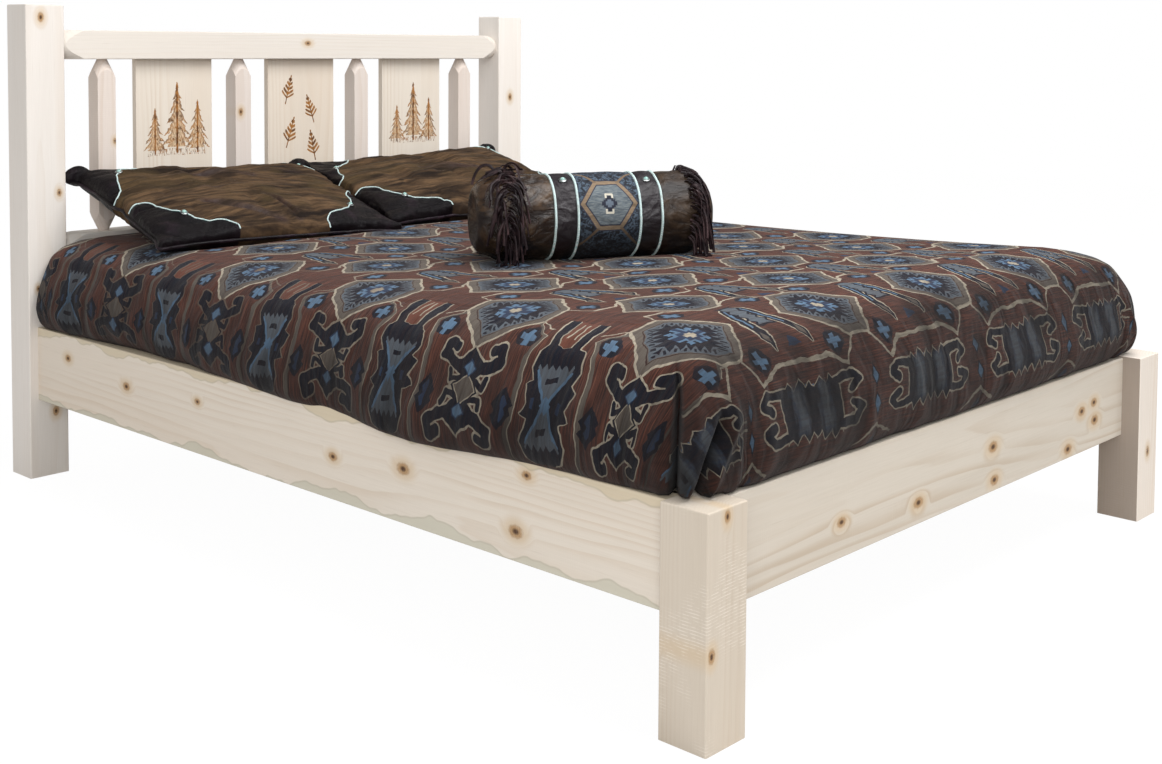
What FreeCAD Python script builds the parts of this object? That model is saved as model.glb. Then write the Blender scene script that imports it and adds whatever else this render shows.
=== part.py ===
import FreeCAD, Part
import Sketcher
import math
import os
import re

# Platform bed of square pine timbers, with its mattress, comforter, two pillows and a bolster.
# Millimetres. X runs across the bed, Y from the foot to the head, Z up from the floor.
# The origin is on the floor under the middle of the bed.

doc = FreeCAD.newDocument("platform_bed")

driving_sizes = [
    # the whole bed
    ("bed_wide", 1680), ("bed_long", 2310), ("fit_gap", 0.2), ("rest_gap", 0.3), ("cut_over", 5),
    # corner posts
    ("post_size", 100), ("head_post_tall", 1194), ("foot_post_tall", 386), ("post_ease", 3),
    # side, foot and head rails
    ("rail_thick", 38), ("rail_tall", 184), ("rail_low", 198), ("rail_ease", 2.5),
    ("side_inset", 22), ("foot_inset", 44), ("head_inset", 12),
    ("tenon_thick", 24), ("tenon_tall", 140), ("tenon_deep", 50),
    # headboard rails with pencil ends
    ("bar_size", 75), ("top_bar_low", 1056.5), ("low_bar_low", 532), ("bar_ease", 3),
    ("bar_tenon_dia", 50), ("bar_tenon_deep", 60), ("bar_neck_dia", 69), ("bar_cone_long", 63),
    # spindles and panels of the headboard
    ("spindle_size", 50), ("spindle_tenon_dia", 25), ("spindle_tenon_deep", 28),
    ("spindle_cone_long", 50), ("spindle_end_gap", 126.5), ("spindle_ease", 1.5),
    ("panel_wide", 228), ("panel_thick", 19), ("panel_tongue", 12), ("panel_end_gap", 0.8),
    # slat deck on cleats, with a centre beam on two legs
    ("deck_drop", 25), ("slat_wide", 89), ("slat_thick", 19), ("slat_gap", 2), ("slat_ease", 1.5),
    ("cleat_size", 38), ("cleat_gap", 2), ("beam_thick", 38), ("beam_tall", 89),
    ("leg_wide", 64), ("leg_thick", 38), ("leg_top_drop", 8), ("foot_leg_at", -300), ("head_leg_at", 500),
    # steel angle brackets between side rails and posts
    ("bracket_rail_leg", 60), ("bracket_post_leg", 36), ("bracket_tall", 80),
    ("bracket_thick", 4), ("bracket_rise", 12),
    # screws and bolts
    ("screw_shank_dia", 4.5), ("screw_head_dia", 9), ("screw_head_tall", 3),
    ("slat_screw_long", 34), ("cleat_screw_long", 50), ("bracket_screw_long", 22),
    ("bolt_dia", 8), ("bolt_head_dia", 14), ("bolt_head_tall", 5.5), ("nut_tall", 6.5), ("bolt_proud", 2),
    # mattress
    ("mattress_thick", 210), ("mattress_corner", 110), ("mattress_edge", 60),
    ("mattress_side_gap", 15), ("mattress_foot_gap", 18), ("mattress_head_gap", 20),
    # comforter
    ("cover_side_gap", 4), ("cover_head_gap", 5), ("cover_foot_proud", 18), ("cover_mid_loft", 43),
    ("cover_foot_rise", 42), ("cover_head_rise", 10), ("cover_foot_corner", 90),
    ("cover_head_corner", 35), ("cover_shoulder", 160), ("cover_tuck", 26), ("cover_wave", 9),
    ("cover_foot_run", 152), ("cover_head_run", 90), ("fold_wide", 18), ("fold_tall", 130),
    # pillows and bolster
    ("pillow_wide", 668), ("pillow_deep", 497), ("pillow_over", 60), ("pillow_under", 38),
    ("pillow_rim", 7), ("pillow_draw", 13), ("bolster_dia", 200), ("bolster_long", 546), ("bolster_flat", 5),
    ("bolster_end_dish", 7), ("bolster_end_soft", 28), ("bolster_end_run", 72),
    ("bolster_end_taper", 12), ("bolster_barrel", 3),
]
slat_count = 14
cleat_screw_shares = [0.06, 0.235, 0.41, 0.59, 0.765, 0.94]
cross_cleat_screw_shares = [0.08, 0.36, 0.64, 0.92]
bracket_screw_shares = [0.24, 0.76]
leg_bolt_shares = [0.26, 0.74]

# Parameter sheet

sheet = doc.addObject("Spreadsheet::Sheet", "Sizes")
for row, (alias, value) in enumerate(driving_sizes, start=1):
    sheet.set(f"A{row}", alias)
    sheet.set(f"B{row}", str(value))
    sheet.setAlias(f"B{row}", alias)
doc.recompute()


def size(alias):
    return float(sheet.get(alias))


def ex(text):
    # every alias holds an underscore, so such words become references to the sheet
    return re.sub(r"\b[a-z]+(?:_[a-z]+)+\b", lambda word: "Sizes." + word.group(0), text)


# Places that several pieces share, as expressions on the sheet

half_wide = "bed_wide/2"
half_long = "bed_long/2"
head_face = "(bed_long/2 - post_size)"
foot_face = "(post_size - bed_long/2)"
inner_wide = "(bed_wide - 2*post_size)"
rail_top = "(rail_low + rail_tall)"
slat_low = "(rail_low + rail_tall - deck_drop - slat_thick)"
rail_inner = "(bed_wide/2 - side_inset - rail_thick)"
headboard_y = "(bed_long/2 - post_size/2)"
low_bar_top = "(low_bar_low + bar_size)"
foot_rail_y = "(foot_inset - bed_long/2)"
head_rail_y = "(bed_long/2 - post_size + head_inset)"
cleat_low = f"({slat_low} - cleat_size)"
spindle_pitch = f"(({inner_wide} - 2*spindle_end_gap)/3)"
mattress_wide = f"(2*{rail_inner} - 2*mattress_side_gap)"
mattress_foot = f"({foot_rail_y} + rail_thick + mattress_foot_gap)"
mattress_long = f"({head_face} - mattress_head_gap - {mattress_foot})"


# Helpers that draw sketches bound to the sheet

def origin_plane(body, role):
    return [item for item in body.Origin.OriginFeatures if item.Role == role][0]


def new_sketch(body, role, name, offset):
    sketch = body.newObject("Sketcher::SketchObject", name)
    sketch.AttachmentSupport = [(origin_plane(body, role), "")]
    sketch.MapMode = "FlatFace"
    if offset:
        sketch.setExpression("AttachmentOffset.Base.z", ex(offset))
    return sketch


def pin_point(sketch, geometry, vertex, place, start):
    # ties one point to the sketch's origin by two signed distances
    for kind, text, value, axis in (("DistanceX", place[0], start.x, -2), ("DistanceY", place[1], start.y, -1)):
        if text == "0":
            sketch.addConstraint(Sketcher.Constraint("PointOnObject", geometry, vertex, axis))
        else:
            index = sketch.addConstraint(Sketcher.Constraint(kind, -1, 1, geometry, vertex, value))
            sketch.setExpression(f"Constraints[{index}]", ex(text))


def outline(body, role, name, polygons, offset=None):
    sketch = new_sketch(body, role, name, offset)
    for corners in polygons:
        count = len(corners)
        first = sketch.GeometryCount
        turn = 2*math.pi/count
        ring = [FreeCAD.Vector(math.cos(turn*i), math.sin(turn*i), 0) for i in range(count)]
        sketch.addGeometry([Part.LineSegment(ring[i], ring[(i + 1) % count]) for i in range(count)], False)
        for i in range(count):
            sketch.addConstraint(Sketcher.Constraint("Coincident", first + i, 2, first + (i + 1) % count, 1))
        for i, corner in enumerate(corners):
            pin_point(sketch, first + i, 1, corner, ring[i])
    return sketch


def rings(body, role, name, centres, radius, offset=None):
    sketch = new_sketch(body, role, name, offset)
    start = FreeCAD.Vector(1, 1, 0)
    for index, centre in enumerate(centres):
        sketch.addGeometry(Part.Circle(start, FreeCAD.Vector(0, 0, 1), 1), False)
        pin_point(sketch, index, 3, centre, start)
        tie = sketch.addConstraint(Sketcher.Constraint("Radius", index, 1))
        sketch.setExpression(f"Constraints[{tie}]", ex(radius))
    return sketch


def block(x_low, x_high, y_low, y_high):
    return [(x_low, y_low), (x_high, y_low), (x_high, y_high), (x_low, y_high)]


def new_body(label):
    body = doc.addObject("PartDesign::Body", label)
    body.Label = label
    return body


def pad(body, sketch, name, length, reverse=False):
    feature = body.newObject("PartDesign::Pad", name)
    feature.Profile = sketch
    feature.Reversed = reverse
    feature.setExpression("Length", ex(length))
    return feature


def pocket(body, sketch, name, depth, reverse=False):
    feature = body.newObject("PartDesign::Pocket", name)
    feature.Profile = sketch
    feature.Reversed = reverse
    feature.setExpression("Length", ex(depth))
    return feature


def groove(body, sketch, name, axis):
    feature = body.newObject("PartDesign::Groove", name)
    feature.Profile = sketch
    feature.ReferenceAxis = (sketch, [axis])
    feature.Angle = 360
    return feature


def ease(body, name, radius, chosen):
    # rounds the straight edges of the body's tip that the test picks
    base = body.Tip
    doc.recompute()
    names = [f"Edge{i}" for i, edge in enumerate(base.Shape.Edges, start=1) if chosen(edge)]
    feature = body.newObject("PartDesign::Fillet", name)
    feature.Base = (base, names)
    feature.setExpression("Radius", ex(radius))
    return feature


def runs_along(edge, axis):
    ends = [vertex.Point for vertex in edge.Vertexes]
    if len(ends) < 2 or not isinstance(edge.Curve, Part.Line):
        return False
    step = ends[1] - ends[0]
    across = [abs(value) for i, value in enumerate(step) if i != axis]
    return max(across) < 0.001*abs(step[axis])


def place(item, x, y, z):
    for key, text in (("x", x), ("y", y), ("z", z)):
        item.setExpression(f"Placement.Base.{key}", ex(text))


# Corner posts

def tenon_mortise(body, side, low_y, high_y):
    # blind mortise for a rail's tenon, in the face towards the middle of the bed
    middle = "(rail_low + rail_tall/2)"
    corners = block(low_y + " - fit_gap", high_y + " + fit_gap",
                    f"{middle} - tenon_tall/2 - fit_gap", f"{middle} + tenon_tall/2 + fit_gap")
    sketch = outline(body, "YZ_Plane", "mortise_outline", [corners], f"{-side}*post_size/2")
    return pocket(body, sketch, "mortise", "tenon_deep + panel_end_gap", side > 0)


def post_pilots(body, side, end):
    # pilot holes for the two bracket screws in the face that the side rail butts against
    middle = f"{-side}*(post_size/2 - (post_size - side_inset - rail_thick) + bracket_post_leg*0.6)"
    level = [f"rail_low + bracket_rise + bracket_tall*{share}" for share in bracket_screw_shares]
    sketch = rings(body, "XZ_Plane", "bracket_pilot_rings", [(middle, z) for z in level],
                   "screw_shank_dia/2 + fit_gap/2", f"{end}*post_size/2")
    return pocket(body, sketch, "bracket_pilots", "bracket_screw_long", end < 0)


def corner_post(label, side, end, tall):
    body = new_body(label)
    section = outline(body, "XY_Plane", "section",
                      [block("-post_size/2", "post_size/2", "-post_size/2", "post_size/2")])
    pad(body, section, "timber", tall)
    ease(body, "eased_sides", "post_ease", lambda edge: runs_along(edge, 2))
    top = size(tall)
    ease(body, "eased_top", "post_ease", lambda edge: edge.BoundBox.ZMin > top*0.99)
    if end > 0:
        inset = "(head_inset + (rail_thick - tenon_thick)/2 - post_size/2)"
    else:
        inset = "(foot_inset + (rail_thick - tenon_thick)/2 - post_size/2)"
    tenon_mortise(body, side, inset, f"{inset} + tenon_thick")
    post_pilots(body, side, end)
    if end > 0:
        bores = [("0", "top_bar_low + bar_size/2"), ("0", "low_bar_low + bar_size/2")]
        sketch = rings(body, "YZ_Plane", "bore_rings", bores, "bar_tenon_dia/2 + fit_gap/2",
                       f"{-side}*post_size/2")
        pocket(body, sketch, "bar_bores", "bar_tenon_deep + panel_end_gap", side > 0)
    place(body, f"{side}*({half_wide} - post_size/2)", f"{end}*({half_long} - post_size/2)", "0")
    return body


corner_post("head_post_left", -1, 1, "head_post_tall")
corner_post("head_post_right", 1, 1, "head_post_tall")
corner_post("foot_post_left", -1, -1, "foot_post_tall")
corner_post("foot_post_right", 1, -1, "foot_post_tall")


# Headboard bars: square timbers whose ends are cut like a pencil down to round tenons

def headboard_bar(label, low, panel_side):
    body = new_body(label)
    whole = f"({inner_wide} + 2*bar_tenon_deep)"
    half = "bar_size/2"
    section = outline(body, "YZ_Plane", "section", [block("-" + half, half, "-" + half, half)])
    pad(body, section, "timber", whole)
    ease(body, "eased_edges", "bar_ease", lambda edge: runs_along(edge, 0))
    profile = [("0", "bar_tenon_dia/2"), ("bar_tenon_deep", "bar_tenon_dia/2"),
               ("bar_tenon_deep", "bar_neck_dia/2"), ("bar_tenon_deep + bar_cone_long", "bar_size/sqrt(2)"),
               ("bar_tenon_deep + bar_cone_long", "bar_size"), ("0", "bar_size")]
    near = outline(body, "XZ_Plane", "near_end_profile", [profile])
    groove(body, near, "near_pencil_end", "H_Axis")
    mirrored = [(f"{whole} - ({x})" if x != "0" else whole, y) for x, y in profile]
    far = outline(body, "XZ_Plane", "far_end_profile", [mirrored])
    groove(body, far, "far_pencil_end", "H_Axis")
    face = f"{panel_side}*bar_size/2"
    middle = f"{whole}/2"
    slots = [block(f"{middle} + {step}*{spindle_pitch} - panel_wide/2 - fit_gap",
                   f"{middle} + {step}*{spindle_pitch} + panel_wide/2 + fit_gap",
                   "-panel_thick/2 - fit_gap", "panel_thick/2 + fit_gap") for step in (-1, 0, 1)]
    slot_sketch = outline(body, "XY_Plane", "panel_slot_outline", slots, face)
    pocket(body, slot_sketch, "panel_slots", "panel_tongue + panel_end_gap", panel_side < 0)
    holes = [(f"{middle} + {step}*{spindle_pitch}", "0") for step in (-1.5, -0.5, 0.5, 1.5)]
    hole_sketch = rings(body, "XY_Plane", "spindle_hole_rings", holes,
                        "spindle_tenon_dia/2 + fit_gap/2", face)
    pocket(body, hole_sketch, "spindle_holes", "spindle_tenon_deep + panel_end_gap", panel_side < 0)
    place(body, f"-{inner_wide}/2 - bar_tenon_deep", headboard_y, f"{low} + bar_size/2")
    return body


headboard_bar("headboard_top_rail", "top_bar_low", -1)
headboard_bar("headboard_lower_rail", "low_bar_low", 1)


# Spindles: square, pencil-pointed at both ends, with round tenons in the two bars

def spindle(label, step):
    body = new_body(label)
    whole = f"(top_bar_low - {low_bar_top} + 2*spindle_tenon_deep)"
    half = "spindle_size/2"
    section = outline(body, "XY_Plane", "section", [block("-" + half, half, "-" + half, half)])
    pad(body, section, "stick", whole)
    ease(body, "eased_edges", "spindle_ease", lambda edge: runs_along(edge, 2))
    profile = [("spindle_tenon_dia/2", "0"), ("spindle_tenon_dia/2", "spindle_tenon_deep"),
               ("spindle_size/sqrt(2)", "spindle_tenon_deep + spindle_cone_long"),
               ("spindle_size", "spindle_tenon_deep + spindle_cone_long"), ("spindle_size", "0")]
    low = outline(body, "XZ_Plane", "low_end_profile", [profile])
    groove(body, low, "low_pencil_end", "V_Axis")
    mirrored = [(x, f"{whole} - ({z})" if z != "0" else whole) for x, z in profile]
    high = outline(body, "XZ_Plane", "high_end_profile", [mirrored])
    groove(body, high, "high_pencil_end", "V_Axis")
    place(body, f"{step}*{spindle_pitch}", headboard_y, f"{low_bar_top} - spindle_tenon_deep")
    return body


for number, step in enumerate((-1.5, -0.5, 0.5, 1.5), start=1):
    spindle(f"spindle_{number}", step)


# Panels: edge-glued boards with their ends in the slots of the two bars

def headboard_panel(label, step):
    body = new_body(label)
    section = outline(body, "XY_Plane", "section",
                      [block("-panel_wide/2", "panel_wide/2", "-panel_thick/2", "panel_thick/2")])
    pad(body, section, "board", f"top_bar_low - {low_bar_top} + 2*panel_tongue")
    ease(body, "eased_edges", "spindle_ease", lambda edge: runs_along(edge, 2))
    place(body, f"{step}*{spindle_pitch}", headboard_y, f"{low_bar_top} - panel_tongue")
    return body


headboard_panel("panel_left", -1)
headboard_panel("panel_center", 0)
headboard_panel("panel_right", 1)


# Rails round the bed

def side_rail(label, side):
    # runs between the head and foot posts and butts against both
    body = new_body(label)
    whole = f"({head_face} - {foot_face})"
    section = outline(body, "XZ_Plane", "section", [block("0", "rail_thick", "0", "rail_tall")])
    pad(body, section, "board", whole, True)
    ease(body, "eased_edges", "rail_ease", lambda edge: runs_along(edge, 1))
    face = "rail_thick" if side < 0 else "0"
    cleat_level = f"{cleat_low} - rail_low + cleat_size/2"
    pilots = [(f"{whole}*{share}", cleat_level) for share in cleat_screw_shares]
    sketch = rings(body, "YZ_Plane", "cleat_pilot_rings", pilots, "screw_shank_dia/2 + fit_gap/2", face)
    reach = "cleat_screw_long - cleat_size + screw_head_tall + panel_end_gap"
    pocket(body, sketch, "cleat_pilots", reach, side > 0)
    levels = [f"bracket_rise + bracket_tall*{share}" for share in bracket_screw_shares]
    ends = ["bracket_rail_leg*0.62", f"{whole} - bracket_rail_leg*0.62"]
    bracket_sketch = rings(body, "YZ_Plane", "bracket_pilot_rings", [(y, z) for y in ends for z in levels],
                           "screw_shank_dia/2 + fit_gap/2", face)
    pocket(body, bracket_sketch, "bracket_pilots", "bracket_screw_long", side > 0)
    outer = f"{half_wide} - side_inset"
    place(body, f"-({outer})" if side < 0 else f"{outer} - rail_thick", foot_face, "rail_low")
    return body


def cross_rail(label, y, toward_bed):
    # tenoned into the two posts of one end
    body = new_body(label)
    span = inner_wide
    section = outline(body, "YZ_Plane", "section", [block("0", "rail_thick", "0", "rail_tall")])
    pad(body, section, "board", span)
    ease(body, "eased_edges", "rail_ease", lambda edge: runs_along(edge, 0))
    low_y = "(rail_thick - tenon_thick)/2"
    low_z = "(rail_tall - tenon_tall)/2"
    tenon = [block(low_y, f"{low_y} + tenon_thick", low_z, f"{low_z} + tenon_tall")]
    near = outline(body, "YZ_Plane", "near_tenon_outline", tenon)
    pad(body, near, "near_tenon", "tenon_deep", True)
    far = outline(body, "YZ_Plane", "far_tenon_outline", tenon, span)
    pad(body, far, "far_tenon", "tenon_deep")
    cleat_level = f"{cleat_low} - rail_low + cleat_size/2"
    pilots = [(f"cleat_gap + ({span} - 2*cleat_gap)*{share}", cleat_level) for share in cross_cleat_screw_shares]
    face = "-rail_thick" if toward_bed > 0 else "0"
    sketch = rings(body, "XZ_Plane", "cleat_pilot_rings", pilots, "screw_shank_dia/2 + fit_gap/2", face)
    reach = "cleat_screw_long - cleat_size + screw_head_tall + panel_end_gap"
    pocket(body, sketch, "cleat_pilots", reach, toward_bed > 0)
    place(body, f"-{inner_wide}/2", y, "rail_low")
    return body


side_rail("side_rail_left", -1)
side_rail("side_rail_right", 1)
cross_rail("foot_rail", foot_rail_y, 1)
cross_rail("head_rail", head_rail_y, -1)


# Cleats that carry the slats

slat_run = f"({head_face} - {foot_face} - 2*slat_gap - slat_wide)"
slat_places = [f"({foot_face} + slat_gap + slat_wide/2 + {slat_run}*{n}/{slat_count - 1})"
               for n in range(slat_count)]
slat_screw_x = "(bed_wide/2 - side_inset - rail_thick - cleat_size/2)"


def side_cleat(label, side):
    body = new_body(label)
    whole = f"({head_face} - {foot_face} - 2*cleat_gap)"
    section = outline(body, "XZ_Plane", "section", [block("0", "cleat_size", "0", "cleat_size")])
    pad(body, section, "strip", whole, True)
    pilots = [("cleat_size/2", f"{y} - {foot_face} - cleat_gap") for y in slat_places]
    sketch = rings(body, "XY_Plane", "slat_pilot_rings", pilots, "screw_shank_dia/2 + fit_gap/2", "cleat_size")
    pocket(body, sketch, "slat_pilots", "slat_screw_long - slat_thick + screw_head_tall + panel_end_gap")
    spots = [(f"({head_face} - {foot_face})*{share} - cleat_gap", "cleat_size/2") for share in cleat_screw_shares]
    through = rings(body, "YZ_Plane", "shank_rings", spots, "screw_shank_dia/2 + fit_gap/2",
                    "-cut_over" if side < 0 else "cleat_size + cut_over")
    pocket(body, through, "shank_holes", "cleat_size + 2*cut_over", side < 0)
    sink = rings(body, "YZ_Plane", "head_rings", spots, "screw_head_dia/2 + fit_gap",
                 "cleat_size" if side < 0 else "0")
    pocket(body, sink, "head_holes", "screw_head_tall + fit_gap", side > 0)
    x = f"-{rail_inner}" if side < 0 else f"{rail_inner} - cleat_size"
    place(body, x, f"{foot_face} + cleat_gap", cleat_low)
    return body


def cross_cleat(label, y, toward_bed):
    body = new_body(label)
    whole = f"({inner_wide} - 2*cleat_gap)"
    section = outline(body, "YZ_Plane", "section", [block("0", "cleat_size", "0", "cleat_size")])
    pad(body, section, "strip", whole)
    spots = [(f"{whole}*{share}", "cleat_size/2") for share in cross_cleat_screw_shares]
    through = rings(body, "XZ_Plane", "shank_rings", spots, "screw_shank_dia/2 + fit_gap/2",
                    "cut_over" if toward_bed > 0 else "-cleat_size - cut_over")
    pocket(body, through, "shank_holes", "cleat_size + 2*cut_over", toward_bed < 0)
    sink = rings(body, "XZ_Plane", "head_rings", spots, "screw_head_dia/2 + fit_gap",
                 "-cleat_size" if toward_bed > 0 else "0")
    pocket(body, sink, "head_holes", "screw_head_tall + fit_gap", toward_bed > 0)
    place(body, f"-{inner_wide}/2 + cleat_gap", y, cleat_low)
    return body


side_cleat("side_cleat_left", -1)
side_cleat("side_cleat_right", 1)
cross_cleat("foot_cleat", f"{foot_rail_y} + rail_thick", 1)
cross_cleat("head_cleat", f"{head_rail_y} - cleat_size", -1)


# Slats, evenly spaced and screwed to the cleats and the centre beam

def slat(label, y):
    body = new_body(label)
    half = f"({rail_inner} - slat_gap)"
    section = outline(body, "XY_Plane", "section", [block("-" + half, half, "-slat_wide/2", "slat_wide/2")])
    pad(body, section, "board", "slat_thick")
    ease(body, "eased_edges", "slat_ease", lambda edge: runs_along(edge, 0))
    spots = [(f"-{slat_screw_x}", "0"), ("0", "0"), (slat_screw_x, "0")]
    through = rings(body, "XY_Plane", "shank_rings", spots, "screw_shank_dia/2 + fit_gap/2",
                    "slat_thick + cut_over")
    pocket(body, through, "shank_holes", "slat_thick + 2*cut_over")
    sink = rings(body, "XY_Plane", "head_rings", spots, "screw_head_dia/2 + fit_gap", "slat_thick")
    pocket(body, sink, "head_holes", "screw_head_tall + fit_gap")
    place(body, "0", y, slat_low)
    return body


for number, y in enumerate(slat_places, start=1):
    slat(f"slat_{number:02d}", y)


# Centre beam and its two legs, bolted side by side

beam_start = f"({foot_rail_y} + rail_thick + cleat_size + cleat_gap)"
beam_end = f"({head_rail_y} - cleat_size - cleat_gap)"
leg_places = {"center_leg_foot": "foot_leg_at", "center_leg_head": "head_leg_at"}
leg_bolt_levels = [f"({slat_low} - leg_top_drop - (beam_tall - leg_top_drop)*{share})" for share in leg_bolt_shares]


def center_beam():
    body = new_body("center_beam")
    section = outline(body, "XZ_Plane", "section", [block("0", "beam_thick", "0", "beam_tall")])
    pad(body, section, "board", f"{beam_end} - {beam_start}", True)
    pilots = [("beam_thick/2", f"{y} - {beam_start}") for y in slat_places]
    sketch = rings(body, "XY_Plane", "slat_pilot_rings", pilots, "screw_shank_dia/2 + fit_gap/2", "beam_tall")
    pocket(body, sketch, "slat_pilots", "slat_screw_long - slat_thick + screw_head_tall + panel_end_gap")
    low = f"({slat_low} - beam_tall)"
    spots = [(f"{y} - {beam_start}", f"{z} - {low}") for y in leg_places.values() for z in leg_bolt_levels]
    bolts = rings(body, "YZ_Plane", "bolt_rings", spots, "bolt_dia/2 + fit_gap", "beam_thick + cut_over")
    pocket(body, bolts, "bolt_holes", "beam_thick + 2*cut_over")
    place(body, "-beam_thick/2", beam_start, low)
    return body


def center_leg(label, y):
    body = new_body(label)
    section = outline(body, "XY_Plane", "section", [block("0", "leg_thick", "-leg_wide/2", "leg_wide/2")])
    pad(body, section, "stick", f"{slat_low} - leg_top_drop")
    spots = [("0", z) for z in leg_bolt_levels]
    bolts = rings(body, "YZ_Plane", "bolt_rings", spots, "bolt_dia/2 + fit_gap", "leg_thick + cut_over")
    pocket(body, bolts, "bolt_holes", "leg_thick + 2*cut_over")
    place(body, "beam_thick/2", y, "0")
    return body


center_beam()
for label, y in leg_places.items():
    center_leg(label, y)


# Steel angle brackets in the four corners

def angle_bracket(label, side, end):
    body = new_body(label)
    sx, sy = -side, -end
    corners = [("0", "0"), (f"{sx}*bracket_post_leg", "0"), (f"{sx}*bracket_post_leg", f"{sy}*bracket_thick"),
               (f"{sx}*bracket_thick", f"{sy}*bracket_thick"), (f"{sx}*bracket_thick", f"{sy}*bracket_rail_leg"),
               ("0", f"{sy}*bracket_rail_leg")]
    section = outline(body, "XY_Plane", "section", [corners])
    pad(body, section, "angle", "bracket_tall")
    levels = [f"bracket_tall*{share}" for share in bracket_screw_shares]
    rail_holes = rings(body, "YZ_Plane", "rail_hole_rings", [(f"{sy}*bracket_rail_leg*0.62", z) for z in levels],
                       "screw_shank_dia/2 + fit_gap", f"{-sx}*cut_over")
    pocket(body, rail_holes, "rail_holes", "bracket_thick + 2*cut_over", sx > 0)
    post_holes = rings(body, "XZ_Plane", "post_hole_rings", [(f"{sx}*bracket_post_leg*0.6", z) for z in levels],
                       "screw_shank_dia/2 + fit_gap", f"{sy}*cut_over")
    pocket(body, post_holes, "post_holes", "bracket_thick + 2*cut_over", sy < 0)
    place(body, f"{side}*{rail_inner}", f"{end}*{head_face}", "rail_low + bracket_rise")
    return body


bracket_corners = {"corner_bracket_head_left": (-1, 1), "corner_bracket_head_right": (1, 1),
                   "corner_bracket_foot_left": (-1, -1), "corner_bracket_foot_right": (1, -1)}
for label, (side, end) in bracket_corners.items():
    angle_bracket(label, side, end)


# Mattress: a rounded block on the slats, inside the rails

def mattress_body():
    body = new_body("mattress")
    half = f"{mattress_wide}/2"
    section = outline(body, "XY_Plane", "section", [block("-" + half, half, "0", mattress_long)])
    pad(body, section, "core", "mattress_thick")
    ease(body, "rounded_corners", "mattress_corner", lambda edge: runs_along(edge, 2))
    deep = size("mattress_thick")
    ease(body, "rounded_edges", "mattress_edge",
         lambda edge: edge.BoundBox.ZMin > deep*0.99 or edge.BoundBox.ZMax < deep*0.01)
    place(body, "0", mattress_foot, f"{slat_low} + slat_thick")
    return body


mattress_body()
doc.recompute()

# The same places as numbers, for the pieces that are shaped in code

rail_top_z = size("rail_low") + size("rail_tall")
slat_top_z = rail_top_z - size("deck_drop")
slat_low_z = slat_top_z - size("slat_thick")
cleat_low_z = slat_low_z - size("cleat_size")
rail_inner_x = size("bed_wide")/2 - size("side_inset") - size("rail_thick")
head_face_y = size("bed_long")/2 - size("post_size")
foot_rail_low_y = size("foot_inset") - size("bed_long")/2
head_rail_low_y = head_face_y + size("head_inset")
mattress_top_z = slat_top_z + size("mattress_thick")
side_run_y = 2*head_face_y
slat_y = [-head_face_y + size("slat_gap") + size("slat_wide")/2
          + (side_run_y - 2*size("slat_gap") - size("slat_wide"))*n/(slat_count - 1) for n in range(slat_count)]


def new_feature(label, shape):
    item = doc.addObject("Part::Feature", label)
    item.Label = label
    item.Shape = shape
    item.Placement = FreeCAD.Placement()
    return item


# Screws and bolts: each kind is one node of separate solids

up = FreeCAD.Vector(0, 0, 1)


def screw(spot, direction, long):
    # the head's underside is at the spot, and the shank runs along the direction
    shank = Part.makeCylinder(size("screw_shank_dia")/2, long, spot, direction)
    head = Part.makeCylinder(size("screw_head_dia")/2, size("screw_head_tall"), spot, direction*-1)
    return shank.fuse(head).removeSplitter()


def slat_screws():
    half = rail_inner_x - size("cleat_size")/2
    level = slat_top_z - size("screw_head_tall") - size("fit_gap")
    spots = [FreeCAD.Vector(x, y, level) for y in slat_y for x in (-half, 0, half)]
    return Part.makeCompound([screw(spot, up*-1, size("slat_screw_long")) for spot in spots])


def cleat_screws():
    level = cleat_low_z + size("cleat_size")/2
    inner = size("cleat_size") - size("screw_head_tall") - size("fit_gap")
    solids = []
    for side in (-1, 1):
        for share in cleat_screw_shares:
            spot = FreeCAD.Vector(side*(rail_inner_x - inner), -head_face_y + side_run_y*share, level)
            solids.append(screw(spot, FreeCAD.Vector(side, 0, 0), size("cleat_screw_long")))
    half = size("bed_wide")/2 - size("post_size") - size("cleat_gap")
    rails = ((foot_rail_low_y + size("rail_thick") + inner, -1), (head_rail_low_y - inner, 1))
    for y, way in rails:
        for share in cross_cleat_screw_shares:
            spot = FreeCAD.Vector(-half + 2*half*share, y, level)
            solids.append(screw(spot, FreeCAD.Vector(0, way, 0), size("cleat_screw_long")))
    return Part.makeCompound(solids)


def bracket_screws():
    solids = []
    for side, end in bracket_corners.values():
        for share in bracket_screw_shares:
            level = size("rail_low") + size("bracket_rise") + size("bracket_tall")*share
            on_rail = FreeCAD.Vector(side*(rail_inner_x - size("bracket_thick")),
                                     end*(head_face_y - size("bracket_rail_leg")*0.62), level)
            on_post = FreeCAD.Vector(side*(rail_inner_x - size("bracket_post_leg")*0.6),
                                     end*(head_face_y - size("bracket_thick")), level)
            solids.append(screw(on_rail, FreeCAD.Vector(side, 0, 0), size("bracket_screw_long")))
            solids.append(screw(on_post, FreeCAD.Vector(0, end, 0), size("bracket_screw_long")))
    return Part.makeCompound(solids)


def hexagon(across, spot, long, direction):
    # a six-sided prism, with its width measured across the corners
    points = [FreeCAD.Vector(0, across/2*math.cos(math.radians(60*i)), across/2*math.sin(math.radians(60*i)))
              for i in range(6)]
    face = Part.Face(Part.makePolygon([spot + point for point in points + points[:1]]))
    return face.extrude(FreeCAD.Vector(direction*long, 0, 0))


leg_bolt_z = [slat_low_z - size("leg_top_drop") - (size("beam_tall") - size("leg_top_drop"))*share
              for share in leg_bolt_shares]
leg_bolt_y = [size("foot_leg_at"), size("head_leg_at")]
bolt_near_x = -size("beam_thick")/2
bolt_far_x = size("beam_thick")/2 + size("leg_thick")


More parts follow.
